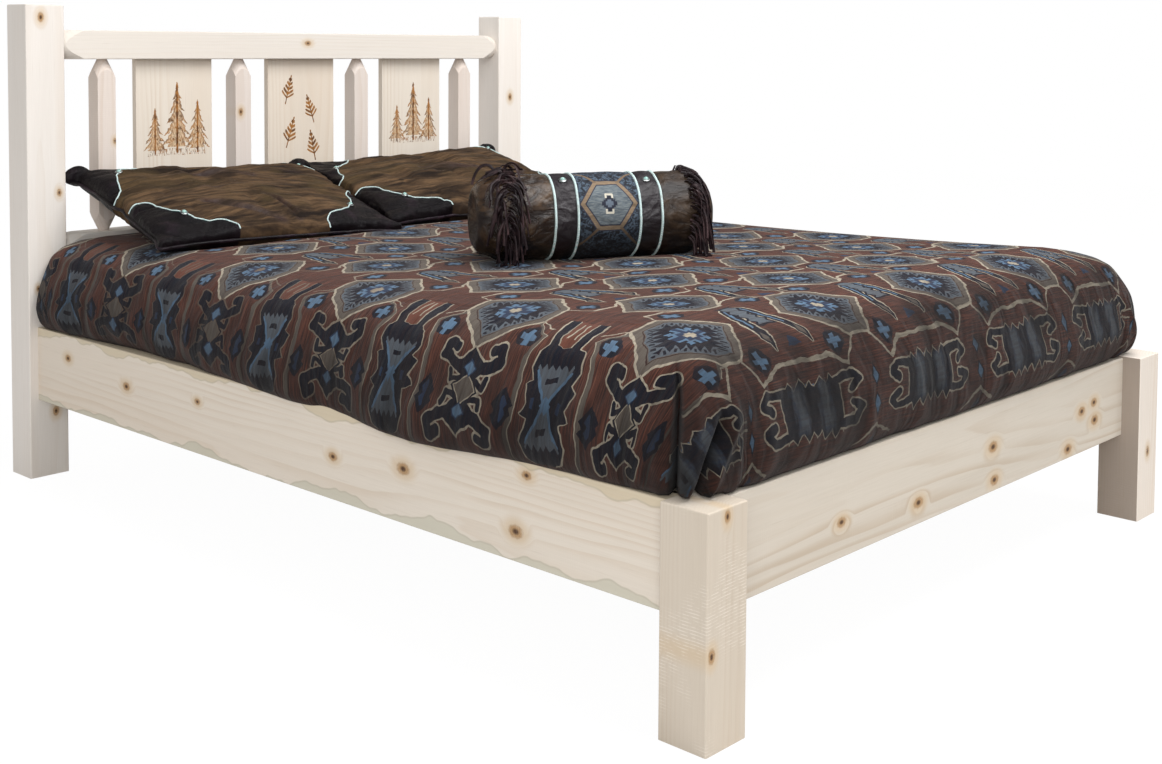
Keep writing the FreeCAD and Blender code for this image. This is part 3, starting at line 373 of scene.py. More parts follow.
def pineMaterial(name, grain, pith, seed, knots=(), through=1, saw=0.3, tint=(1, 1, 1), contrast=1.0, shade=None,
                 burn=None, edgeBands=()):
    # pith is where the log's heart lies on the two cross axes, knots are (x, y, z, radius) in metres
    p = Paint("pine_" + name, Specular_IOR_Level=0.3)
    along = "xyz".index(grain)
    cross = [k for k in range(3) if k != along]

    def lengthwise(here, across):
        out = [across] * 3
        out[along] = here
        return out

    def tinted(key):
        return tuple(a * b for a, b in zip(pine[key], tint))

    place = p.place()
    xyz = p.axes(place)
    drawn = p.vector("MULTIPLY_ADD", place, lengthwise(0.1, 1.0), (seed * 1.7, seed * 0.9, seed * 2.3))
    wander = p.noise(drawn, 4.5, 3, 0.5) - 0.5
    ripple = p.noise(drawn, 30, 2, 0.5) - 0.5
    ra, rb = (xyz[axis] - middle for axis, middle in zip(cross, pith))
    rings = (ra * ra + rb * rb).do("SQRT") / pine["ring"] + wander * pine["wander"] + ripple * 0.7
    if knots:
        squeeze = lengthwise(0.65, 1.0)
        squeeze[through] = 0.06
        flat = p.vector("MULTIPLY", place, squeeze)
        near = extreme([p.vector("DISTANCE", flat, tuple(a * b for a, b in zip(spot, squeeze))) / radius
                        for *spot, radius in knots], "least")
        rings = rings + near.step(0.9, 2.8, 1.1, 0.0)
    ring = rings.part()
    band = ring.step(0.35, 0.93) * ring.step(0.93, 1.0, 1.0, 0.0)
    fade = p.noise(drawn, 7, 3, 0.6).step(0.35, 0.75, 0.05, 1.0) * contrast
    fibre = p.noise(place, 1.0, 3, 0.65, stretch=lengthwise(9.0, 420.0))
    colour = p.coats(p.mix(band * fade, tinted("early"), tinted("late")),
                     (p.noise(drawn, 2.4, 3, 0.6).step(0.4, 0.72, 0.0, 0.45), tinted("warm")),
                     (p.noise(drawn, 5.1, 3, 0.6).step(0.5, 0.8, 0.0, 0.5), tinted("grey")),
                     (fibre.step(0.3, 0.72, 0.0, 0.2), tinted("grey")),
                     (fibre.step(0.64, 0.82, 0.0, 0.4), tinted("fleck")))
    if knots:
        wood = p.noise(place, 160, 2, 0.6)
        core = p.coats(pine["knot"], ((near * 5 + wood * 1.5).part().step(0.5, 1.0, 0.0, 0.5), pine["rim"]),
                       (near.step(0.16, 0.60, 1.0, 0.0), pine["pith"]), (near.step(0.5, 0.98) * 0.5, pine["rim"]))
        colour = p.coats(colour, (near.step(0.8, 2.6, 0.6, 0.0), pine["halo"]),
                         ((near + (wood - 0.5) * 0.45).step(0.55, 1.15, 1.0, 0.0), core))
    # mill marks run across the grain in patches, paler where the saw has fluffed the wood
    marks = (xyz[along] * pine["sawPitch"] + wander * 24).do("SINE") * p.noise(place, 7, 2, 0.5).step(0.40, 0.62)
    pale = marks.step(0.2, 1.0) * p.noise(place, 1.0, 2, 0.6, stretch=(70, 70, 70)).step(0.35, 0.65) * saw
    colour = p.mix(pale * 0.6, colour, pine["sawn"])
    for edge, side, tone in edgeBands:
        # a darker band runs in from an edge height, with an uneven border marked by a thin grey-brown line
        away = (xyz[2] - edge) * side - (p.noise(p.join(xyz[along] * 5.0, edge), 1.0, 3, 0.55) - 0.40) * 0.11
        colour = p.mix(away.step(-0.003, 0.004, 0.62, 0.0), colour, linear(*tone))
        colour = p.mix(abs(away).step(0.0, 0.003, 0.3, 0.0), colour, pine["bark"])
    if burn:
        draw, marksAt = burn
        front = xyz[1].below(pine["panelFront"])
        ink, glow = (mask * front for mask in draw(p, xyz[0], xyz[2], marksAt))
        colour = p.mix(glow, colour, pine["singed"])
        colour = p.mix(ink, colour, p.mix(p.noise(place, 60, 2, 0.6).step(0.35, 0.6), pine["burnt"], pine["scorched"]))
    # painted shade: wood below the limit along the axis is darkened toward the shaded colour, for a face that lies in
    # shadow
    if shade:
        axis, limit, depth = shade
        colour = p.mix(xyz[axis].below(limit) * depth, colour, pine["shaded"])
    height = fibre * 0.5 + band * fade * 0.15 + marks * saw * 0.2
    return p.finish(colour, fibre * 0.16 + (pine["rough"] - band * 0.06), p.bump(height, 0.5, 0.0006))


def burntTrees(p, x, z, trees, ground=0.804):
    # conifers drawn with a hot point: centre, foot height, height and half width of each
    hatch = p.noise(p.join(x * 420.0, z * 95.0), 1.0, 3, 0.6)
    rough = (p.noise(p.join(x * 60.0, z * 60.0), 1.0, 2, 0.6) - 0.5) * 0.16
    inks, glows = [], []
    for centre, foot, tall, half in trees:
        up = (z - foot) / tall
        side = abs(x - centre) / half
        tier = ((up + side * 0.14 + rough) * 6.5).part()
        width = (1.02 - up) * (1.0 - tier * 0.55)
        inside = (side + rough * 0.8).below(width) * up.above(0.03) * up.below(1.0)
        rim = inside * (side + rough + 0.13).above(width)
        shade = inside * hatch.step(0.46, 0.54) * (1.0 - tier * 0.5)
        trunk = side.below(0.06) * up.above(-0.06) * up.below(0.96)
        inks.append((rim * 0.7).most(shade).most(trunk))
        glows.append(inside * 0.55)
    earth = abs(z - ground + (p.noise(p.join(x * 30.0, 0.0), 1.0, 2, 0.5) - 0.5) * 0.012)
    blades = p.noise(p.join(x * 300.0, z * 60.0), 1.0, 2, 0.6).above(0.54)
    grass = earth.below(0.009) * blades * abs(x - trees[0][0]).below(0.088)
    return extreme(inks).most(grass * 0.8), extreme(glows)


def burntSprigs(p, x, z, sprigs):
    # fern sprigs: foot, length and lean of each
    inks, glows = [], []
    for px, pz, size, lean in sprigs:
        c, d = math.cos(lean), math.sin(lean)
        across = (x - px) * c - (z - pz) * d
        up = ((x - px) * d + (z - pz) * c) / size
        side = abs(across) / size
        leaf = ((up - side * 0.85) * 5.5).part()
        reach = up.step(0.02, 0.30) * (1.03 - up) * 0.40
        blade = side.below(reach * (1.0 - abs(leaf - 0.4) * 0.5)) * leaf.below(0.62) * up.above(0.04) * up.below(1.0)
        inks += [blade * 0.95, side.below(0.022) * up.above(-0.18) * up.below(0.98)]
        glows.append(side.below(reach) * up.above(0.0) * up.below(1.0) * 0.2)
    return extreme(inks), extreme(glows)


def wear(node, mat):
    # every CAD node that stays gets its material in each of its slots
    obj = nodes[node]
    if not obj.data.materials:
        obj.data.materials.append(mat)
    for slot in obj.material_slots:
        slot.material = mat


def onFace(axis, at, *spots):
    # knots on one face: the place across each axis that is left, and the radius
    return [(*spot[:axis], at, *spot[axis:]) for spot in spots]


# painted light: headLitTint makes the head posts paler, because the head end stands in brighter light
white, rosy, headLitTint = (1.0, 1.05, 1.12), (0.97, 0.96, 1.01), (1.06, 1.10, 1.18)
woodwork = dict(
    head_post_left=dict(grain="z", pith=(-0.79, 1.20), tint=headLitTint, contrast=0.45, knots=onFace(
        1, 1.055, (-0.801, 1.162, 0.009), (-0.758, 0.719, 0.007), (-0.773, 0.162, 0.009), (-0.815, 0.480, 0.006))),
    # painted light: a paler tint, because the head end stands in brighter light
    head_post_right=dict(grain="z", pith=(0.80, 1.22), knots=[(0.79, 1.055, 0.93, 0.009)], tint=(1.12, 1.17, 1.26),
                         contrast=0.45),
    # painted shade: a darker tint, because the foot end gets less light
    foot_post_left=dict(grain="z", pith=(-0.74, -1.26), saw=0.9, tint=(0.84, 0.82, 0.79),
                        knots=onFace(1, -1.155, (-0.792, 0.371, 0.008), (-0.828, 0.158, 0.009))),
    # painted shade on the inner face, below x 0.7405, which lies in shadow under the bed
    foot_post_right=dict(grain="z", pith=(0.86, -1.27), knots=[(0.79, -1.155, 0.158, 0.009)], saw=0.7,
                         contrast=0.6, tint=(1.08, 1.09, 1.13), shade=(0, 0.7405, 0.66)),
    headboard_top_rail=dict(grain="x", pith=(1.19, 1.02), knots=[(0.004, 1.07, 1.102, 0.008)], saw=0.2, tint=white,
                            contrast=0.3),
    headboard_lower_rail=dict(grain="x", pith=(1.2, 0.5), saw=0.2, tint=white, contrast=0.5),
    side_rail_left=dict(grain="y", pith=(-0.62, 0.21), through=0, saw=0.15, contrast=0.6,
                        edgeBands=((0.198, 1, (196, 194, 176)), (0.382, -1, (204, 188, 156))), knots=onFace(
                            0, -0.818, (0.901, 0.326, 0.010), (0.624, 0.300, 0.011), (0.321, 0.314, 0.008),
                            (-0.171, 0.285, 0.010), (-0.390, 0.303, 0.013), (-0.727, 0.357, 0.009),
                            (-0.700, 0.252, 0.013))),
    side_rail_right=dict(grain="y", pith=(0.60, 0.38), through=0, saw=0.15, knots=onFace(
        0, 0.818, (-0.62, 0.30, 0.012), (0.11, 0.27, 0.01), (0.66, 0.33, 0.009))),
    # painted shade: a darker tint, because the foot end gets less light
    foot_rail=dict(grain="x", pith=(-0.86, 0.33), saw=0.15, tint=(0.84, 0.84, 0.83), contrast=1.2, knots=onFace(
        1, -1.11, (-0.414, 0.263, 0.010), (-0.157, 0.240, 0.012), (0.128, 0.291, 0.013), (0.136, 0.221, 0.012),
        (0.465, 0.219, 0.013), (0.530, 0.292, 0.012), (0.591, 0.302, 0.011), (0.596, 0.261, 0.013))),
    head_rail=dict(grain="x", pith=(1.32, 0.31), knots=onFace(1, 1.1, (-0.3, 0.27, 0.011), (0.42, 0.32, 0.009))))
spindleKnots = {1: [(-0.592, 1.08, 0.842, 0.006)], 2: [(-0.213, 1.08, 0.908, 0.008)]}
for n in range(1, 5):
    woodwork[f"spindle_{n}"] = dict(grain="z", pith=(-0.6435 + 0.409 * (n - 1), 1.17), tint=rosy, contrast=0.5,
                                    knots=spindleKnots.get(n, ()))
drawings = dict(
    left=(burntTrees, [(-0.402, 0.812, 0.182, 0.050), (-0.468, 0.806, 0.118, 0.036), (-0.340, 0.808, 0.138, 0.040)]),
    center=(burntSprigs, [(-0.052, 0.938, 0.074, 0.25), (0.040, 0.882, 0.074, -0.3), (-0.048, 0.812, 0.080, 0.3),
                          (0.046, 0.772, 0.078, -0.2)]),
    right=(burntTrees, [(0.416, 0.812, 0.172, 0.048), (0.478, 0.806, 0.128, 0.038), (0.352, 0.806, 0.108, 0.034)]))
for n, (side, drawing) in enumerate(drawings.items()):
    woodwork[f"panel_{side}"] = dict(grain="z", pith=(-0.359 + 0.409 * n, 1.32), saw=0.15, contrast=0.7, burn=drawing)
for n, side in enumerate(("left", "right")):
    woodwork[f"side_cleat_{side}"] = dict(grain="y", pith=(0.5 - n, 0.5), through=0)
woodwork["foot_cleat"] = dict(grain="x", pith=(-0.8, 0.5))
woodwork["head_cleat"] = dict(grain="x", pith=(0.8, 0.5))
woodwork["center_beam"] = dict(grain="y", pith=(0.09, 0.27), through=0,
                               knots=onFace(0, 0, (-0.4, 0.29, 0.012), (0.66, 0.3, 0.01)))
for n, end in enumerate(("foot", "head")):
    woodwork[f"center_leg_{end}"] = dict(grain="z", pith=(0.1, 0.05 + 0.3 * n))
for seed, (name, choice) in enumerate(woodwork.items(), 1):
    wear(name, pineMaterial(name, seed=seed, **choice))
slatWood = pineMaterial("slats", "x", (0.2, 0.12), 26, saw=0.5, contrast=0.8)
slats = [name for name in nodes if name.startswith("slat_") and name != "slat_screws"]
for name in slats:
    wear(name, slatWood)
print("pine laid on", len(woodwork) + len(slats), "nodes")


# zinc-plated steel: brackets, screws, bolts and nuts

zinc = colours(dark=(118, 122, 124), light=(196, 199, 198), warm=(190, 184, 158))


def zincMaterial():
    p = Paint("zincSteel", Metallic=1.0)
    place = p.place()
    grey = p.axes(p.cells(place, 160, out="Color"))[0]
    cloud = p.noise(place, 45, 3, 0.6)
    scratch = p.noise(place, 1.0, 2, 0.5, stretch=(900, 60, 60))
    colour = p.mix(grey * 0.5 + cloud * 0.4, zinc["dark"], zinc["light"])
    colour = p.mix(cloud.step(0.55, 0.75, 0.0, 0.3), colour, zinc["warm"])
    return p.finish(colour, grey * 0.14 + scratch * 0.15 + 0.24, p.bump(scratch * 0.6 + grey * 0.4, 0.35, 0.0002))


zincSteel = zincMaterial()
for name in nodes:
    if name.startswith("corner_bracket") or name.endswith(("_screws", "_bolts", "_nuts")):
        wear(name, zincSteel)


# mattress: ticking over a spring unit, with a tape edge round the top and bottom panels

mattress = dict(half=0.765, foot=-1.055, head=1.035, low=0.357, top=0.567, corner=0.11, edge=0.055, welt=0.0045,
                perCorner=14, perSide=(40, 30), tapeIn=0.012, tapeUp=0.026, sink=0.002, roll=0.0015, tuft=0.0012)


def roundedRect(s, inset=0.0):
    # plan outline, counter-clockwise from the right side, with the way out at each point
    points = []
    halfX, lowY, highY, corner = s["half"] - inset, s["foot"] + inset, s["head"] - inset, s["corner"] - inset
    centres = [(halfX - corner, lowY + corner), (halfX - corner, highY - corner), (-halfX + corner, highY - corner),
               (-halfX + corner, lowY + corner)]
    for n, (cx, cy) in enumerate(centres):
        for k in range(s["perCorner"]):
            turn = math.radians(90 * (n - 1) + 90 * k / (s["perCorner"] - 1))
            c, d = math.cos(turn), math.sin(turn)
            points.append((cx + corner * c, cy + corner * d, c, d))
        ax, ay, c, d = points[-1]
        nx, ny = centres[(n + 1) % 4]
        bx, by = nx + corner * c, ny + corner * d
        steps = s["perSide"][n % 2]
        points += [(ax + (bx - ax) * k / steps, ay + (by - ay) * k / steps, c, d) for k in range(1, steps)]
    return np.array(points)


def makeMattress(s):
    ring = roundedRect(s)
    tall, edge, count = s["top"] - s["low"], s["edge"], len(ring)
    turns = [math.pi / 2 * k / 8 for k in range(9)]
    rounding = [(edge * (1 - math.sin(turn)), edge * (1 - math.cos(turn))) for turn in turns]
    section = rounding + [(0, z) for z in np.linspace(edge, tall - edge, 7)[1:-1]]
    section += [(a, tall - b) for a, b in reversed(rounding)]
    quilt = Noise3(31)
    verts = []
    for inset, z in section:
        # a shallow roll between the two tape edges
        off = inset + s["sink"] - s["roll"] * math.sin(math.pi * z / tall * 3) ** 2
        verts += [(x - nx * off, y - ny * off, s["low"] + z) for x, y, nx, ny in ring]
    faces = ringFaces(len(section), count)
    # the panels close in on the middle line
    middle = (s["foot"] + s["head"]) / 2
    for end, sign in ((len(section) - 1, 1), (0, -1)):
        last = [end * count + k for k in range(count)]
        base = [verts[i] for i in last]
        for share in np.linspace(1, 0, 9)[1:]:
            row = []
            for x, y, z in base:
                px, py = x * share, middle + (y - middle) * share
                tuft = s["tuft"] * float(quilt(np.array([px, py, 0.3 * sign]), 0.11))
                row.append(len(verts))
                verts.append((px, py, z + sign * min(0, tuft - s["tuft"])))
            for k in range(count):
                a, b = last[k], last[(k + 1) % count]
                c, d = row[(k + 1) % count], row[k]
                faces.append((a, b, c, d) if sign > 0 else (b, a, d, c))
            last = row
    obj = makeObject("mattress_body", verts, faces)
    weld(obj, 1e-5)
    return obj


def tickingMaterial():
    p = Paint("ticking", Sheen_Weight=0.25, Sheen_Roughness=0.5, Specular_IOR_Level=0.25)
    x, y, z = p.axes(p.place())
    lattice = abs(((x + y) * 7.2).part() - 0.5).least(abs(((x - y) * 7.2).part() - 0.5))
    thread = (x * 2600).do("SINE") * (y * 2600 + z * 2600).do("SINE")
    damask = p.noise(p.place(), 26, 2, 0.4, 1.2).step(0.48, 0.53)
    colour = p.mix(damask, linear(222, 219, 212), linear(206, 203, 196))
    colour = p.mix(lattice.step(0.0, 0.06, 1.0, 0.0) * 0.4, colour, linear(176, 172, 164))
    height = lattice.step(0.0, 0.3) + thread * 0.05 + damask * 0.04
    return p.finish(colour, thread * 0.05 + damask * 0.12 + 0.68, p.bump(height, 0.8, 0.004))


mattressBody = makeMattress(mattress)
tapeLine = [(x, y) for x, y, _, _ in roundedRect(mattress, mattress["tapeIn"])]
ticking = tickingMaterial()
mattressBody.data.materials.append(ticking)
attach(mattressBody, "bedding")
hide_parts("mattress")
for name, z in (("mattress_tape_top", mattress["top"] - mattress["tapeUp"]),
                ("mattress_tape_low", mattress["low"] + mattress["tapeUp"])):
    tape = tubes(name, [[(x, y, z) for x, y in tapeLine]], mattress["welt"], closed=True, kind="POLY")
    tape.data.materials.append(ticking)
    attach(tape, "bedding")
print("mattress made")


# comforter: one closed quilt over the mattress, gathered round the foot corners

cover = dict(innerX=0.676, innerFoot=-0.929, innerHead=0.960, halfX=0.836, footY=-1.129, headY=1.050, hemZ=0.3823,
             mattressTop=0.567, loft=0.043, footRise=0.042, headRise=0.010, crown=0.035, rows=34, acrossCells=52,
             alongCells=74, cornerSteps=76, footPower=4.0, headPower=9.0, under=0.0015, slack=0.003,
             postInside=0.7385, postEnd=-1.0535, postTop=0.3874, weld=0.0004)
# folds at the foot corners: height where each starts, its place round the corner at three heights, width, depth
cornerFolds = [(0.600, (0.34, 0.355, 0.375), 0.030, -0.060), (0.535, (0.56, 0.80, 0.84), 0.040, -0.056),
               (0.590, (0.46, 0.53, 0.57), 0.085, 0.014), (0.560, (0.70, 0.92, 0.93), 0.035, 0.012),
               (0.520, (0.985, 0.985, 0.985), 0.020, -0.010), (0.545, (0.20, 0.20, 0.22), 0.05, 0.006)]
foldHeights = (0.39, 0.50, 0.58)
# height of each drop, and its profile from the flat top to the hem: metres in from the widest line, share of height
drops = dict(
    side=(0.233, [(.160, .965), (.110, .925), (.068, .86), (.040, .76), (.024, .6), (.010, .45), (.002, .3), (0, .22),
                  (.004, .12), (.010, .05), (.022, .004)]),
    foot=(0.268, [(.200, .985), (.125, .93), (.085, .88), (.055, .82), (.036, .73), (.024, .64), (.013, .54),
                  (.006, .43), (.001, .33), (0, .26), (.001, .19), (.005, .12), (.011, .06), (.024, .004)]),
    head=(0.236, [(.090, .985), (.040, .93), (.013, .84), (.005, .76), (0, .6), (0, .4), (0, .2), (.004, .07),
                  (.012, .004)]))
# how far the hem stands out along the left side: place along the bed, metres beyond the widest line
leftSwing = [(-1.129, 0.0), (-1.063, -.018), (-1.002, -.001), (-.962, .001), (-.894, .008), (-.794, .004),
             (-.697, .009), (-.605, .020), (-.51, .030), (-.425, .030), (-.312, .018), (-.158, -.009),
             (-.056, .010), (.138, .003), (.368, -.018), (.583, -.022), (.798, -.012), (1.05, 0)]
leftDroop = [(-1.129, 0), (-.80, .001), (-.62, .008), (-.45, .014), (-.25, .012), (-.05, .008), (.15, .004),
             (.4, .001), (1.05, 0)]
# the lining runs up the mattress: metres in, height
lining = [(0, 0.3860), (0, 0.43), (0, 0.48), (0.002, 0.515), (0.014, 0.545), (0.034, 0.561), (0.058, 0.5685)]


def coverTop(y):
    share = (y - cover["footY"]) / (cover["headY"] - cover["footY"])
    return (cover["mattressTop"] + cover["loft"] + cover["footRise"] * (1 - share) ** 3
            + cover["headRise"] * share ** 3)


def restOnPosts(points):
    # the gathered corners lie on the foot posts' tops
    over = (np.abs(points[:, 0]) > cover["postInside"]) & (points[:, 1] < cover["postEnd"])
    points[:, 2] = np.where(over, np.maximum(points[:, 2], cover["postTop"]), points[:, 2])
    return points


def coverColumns(s, xs, ys):
    # round the inner rectangle: start point, weights out along x and y, share of the end's profile
    turns = np.linspace(0, math.pi / 2, s["cornerSteps"] + 2)[1:-1]
    innerX, foot, head = s["innerX"], s["innerFoot"], s["innerHead"]
    columns = []

    def corner(cx, cy, sx, sy, endFirst):
        power = 2 / (s["footPower"] if sy < 0 else s["headPower"])
        for t in turns:
            c, d, share = math.cos(t) ** power, math.sin(t) ** power, t / (math.pi / 2)
            columns.append((cx, cy, sx * d, sy * c, 1 - share) if endFirst else (cx, cy, sx * c, sy * d, share))

    columns += [(innerX, y, 1, 0, 0.0) for y in ys]
    corner(innerX, head, 1, 1, False)
    columns += [(x, head, 0, 1, 1.0) for x in xs[::-1]]
    corner(-innerX, head, -1, 1, True)
    columns += [(-innerX, y, -1, 0, 0.0) for y in ys[::-1]]
    corner(-innerX, foot, -1, -1, False)
    columns += [(x, foot, 0, -1, 1.0) for x in xs]
    corner(innerX, foot, 1, -1, True)
    return np.array(columns)


def makeCover(s):
    wrinkle, swell = Noise3(7), Noise3(11)
    profiles, lengths = {}, {}
    for key, (height, points) in drops.items():
        pts = np.array(points, float)
        even, lengths[key] = resample(np.stack([pts[:, 0], pts[:, 1] * height], -1), s["rows"])
        profiles[key] = np.stack([even[:, 0], even[:, 1] / height], -1)
    nx, ny = s["acrossCells"], s["alongCells"]
    xs = np.linspace(-s["innerX"], s["innerX"], nx + 1)
    ys = np.linspace(s["innerFoot"], s["innerHead"], ny + 1)
    startX, startY, outX, outY, endShare = coverColumns(s, xs, ys).T
    n = len(startX)
    atFoot, left = outY < 0, outX < 0
    onSide, onEnd = np.abs(outX) > 0, np.abs(outY) > 0
    side, turning = onSide & (endShare < 0.5), atFoot & onSide & onEnd
    blend = smoothStep(0, 1, endShare)
    reachEnd = np.where(atFoot, s["innerFoot"] - s["footY"], s["headY"] - s["innerHead"])
    rows, uvs = [], []

    def alongSide(graph, y, right):
        # a graph for the left side, turned end for end and weaker on the right
        return np.where(left, np.interp(y, *zip(*graph)), np.interp(-y, *zip(*graph)) * right)

    for r in range(s["rows"]):
        low = r / (s["rows"] - 1)
        inSide, shareSide = profiles["side"][r]
        end, shareEnd, lenEnd = (np.where(atFoot, a, b) for a, b in zip(
            (*profiles["foot"][r], lengths["foot"][r]), (*profiles["head"][r], lengths["head"][r])))
        shareEnd = shareEnd - 0.02 * (startX / s["innerX"]) ** 2 * (1 - low)
        x = startX + outX * (s["halfX"] - s["innerX"] - inSide)
        y = startY + outY * (reachEnd - end)
        share = shareSide * (1 - blend) + shareEnd * blend
        # the fabric's own corner stays nearly square, so the pattern runs on round the bed
        u = startX + np.sign(outX) * np.abs(outX) ** 0.8 * lengths["side"][r]
        v = startY + np.sign(outY) * np.abs(outY) ** 0.8 * lenEnd
        drop = np.clip((0.965 - share) / 0.965, 0, 1)
        z = s["hemZ"] + share * (coverTop(y) - s["hemZ"])
        # soft swings of the hem and the folds that hang from the shoulder
        out = alongSide(leftSwing, y, 0.8) * drop ** 2.2 * side * (1 - endShare * 2).clip(0, 1)
        folds = wrinkle(np.stack([x * 0.6, y, 0 * y + 3.1 + 0.9 * low], -1), 0.16) * 0.006
        folds = folds + swell(np.stack([x, y, z * 0.5], -1), 0.075) * 0.0028
        out += folds * smoothStep(0.05, 0.5, drop) * (1 - 0.4 * smoothStep(0.8, 1.0, drop))
        dent = np.zeros(n)
        for start, places, wide, depth in cornerFolds:
            line = np.interp(z, foldHeights, places)
            dent += depth * np.exp(-((endShare - line) / wide) ** 2) * smoothStep(start, start - 0.075, z)
        out += dent * turning * np.where(left, 1, 0.8)
        # small puckers above the hem
        lengthwise = np.where(endShare > 0.5, x, y)
        pucker = wrinkle(np.stack([lengthwise, 0 * x + 0.3, 0.5 + 0.05 * low + 0 * x], -1), 0.026)
        out += pucker * 0.0042 * smoothStep(0.55, 0.95, low) * ~turning
        z = z - alongSide(leftDroop, y, 0.7) * side * smoothStep(0.72, 1.0, drop)
        out = out * np.where(outY > 0, 0, smoothStep(1.05, 0.93, y))
        reach = np.hypot(outX, outY)
        rows.append(restOnPosts(np.stack([x + outX / reach * out, y + outY / reach * out, z], -1)))
        uvs.append(np.stack([u, v], -1))
    # the hem turns under and the lining runs up the mattress
    hem = rows[-1]
    inward = -np.stack([outX, outY], -1) / np.hypot(outX, outY)[:, None]
    turned, tucked = hem.copy(), hem.copy()
    turned[:, :2] += inward * 0.005
    tucked[:, :2] += inward * 0.007
    tucked[:, 2] = np.maximum(hem[:, 2] + 0.002, 0.3836)
    inner = [turned, tucked]
    mHalf, mFoot, mHead = (mattress[key] + sign * s["slack"] for key, sign in (("half", 1), ("foot", -1), ("head", 1)))
    endReach = np.where(atFoot | ((outY == 0) & (startY < 0)), s["innerFoot"] - mFoot, mHead - s["innerHead"])
    cx, cy = (np.sign(out) * np.abs(out) ** 0.62 for out in (outX, outY))
    norm = (np.abs(cx) ** 2.6 + np.abs(cy) ** 2.6) ** (1 / 2.6)
    for inset, z in lining:
        x = startX + cx / norm * (mHalf - s["innerX"] - inset)
        y = startY + cy / norm * (endReach - inset)
        inner.append(np.stack([x, y, np.full(n, z)], -1))
    inner.append(np.stack([startX, startY, np.full(n, lining[-1][1])], -1))
    rows += [restOnPosts(row) for row in inner]
    uvs += [row[:, :2] for row in inner]
    faces = [(r * n + k, (r + 1) * n + k, (r + 1) * n + (k + 1) % n, r * n + (k + 1) % n)
             for r in range(len(rows) - 1) for k in range(n)]
    # the two flat fields, top and lining
    gx, gy = np.meshgrid(xs, ys)
    across = (gx / s["innerX"]) ** 2
    ends = smoothStep(-0.60, s["innerFoot"], gy) + smoothStep(0.75, s["innerHead"], gy)
    share = 1 - s["crown"] * across - 0.015 * ends * (1 - across)
    soft = (smoothStep(s["innerX"], 0.55, np.abs(gx)) * smoothStep(s["innerFoot"], s["innerFoot"] + 0.12, gy)
            * smoothStep(s["innerHead"], s["innerHead"] - 0.1, gy))
    flat = np.stack([gx, gy, 0 * gx], -1)
    top = s["hemZ"] + share * (coverTop(gy) - s["hemZ"])
    top = top + soft * (wrinkle(flat + (0, 0, 9.3), 0.21) * 0.0035 + swell(flat * (1.6, 0.8, 1), 0.09) * 0.0016)
    for z, flip in ((top, 1), (np.full_like(gx, lining[-1][1]), -1)):
        start = sum(len(row) for row in rows)
        rows.append(np.stack([gx, gy, z], -1).reshape(-1, 3))
        uvs.append(rows[-1][:, :2])
        cells = [start + j * (nx + 1) + i for j in range(ny) for i in range(nx)]
        faces += [(a, a + 1, a + nx + 2, a + nx + 1)[::flip] for a in cells]
    return makeObject("comforter_quilt", np.concatenate(rows), faces), np.concatenate(uvs)


quilt, quiltUv = makeCover(cover)
layUv(quilt, quiltUv, "cloth")
weld(quilt, cover["weld"])
subdivide(quilt)


# woven cover: a kilim-style jacquard drawn from the cloth's own measure, in metres

kilim = dict(cellU=0.374, cellV=0.415, startU=0.044, startV=-0.995, sideU=0.891, footV=-1.207, stepSize=0.006,
             foot=-1.083, fieldHalf=0.755, ribU=2600, ribV=3300)
dyes = colours(ground=(104, 62, 49), groundDark=(54, 35, 31), rust=(142, 92, 74), navy=(14, 20, 34),
               denim=(38, 56, 82), grey=(88, 96, 104), blue=(88, 116, 142), tan=(172, 162, 144), worn=(92, 74, 62),
               dull=(98, 90, 82), soil=(20, 15, 15), deep=(12, 9, 9))


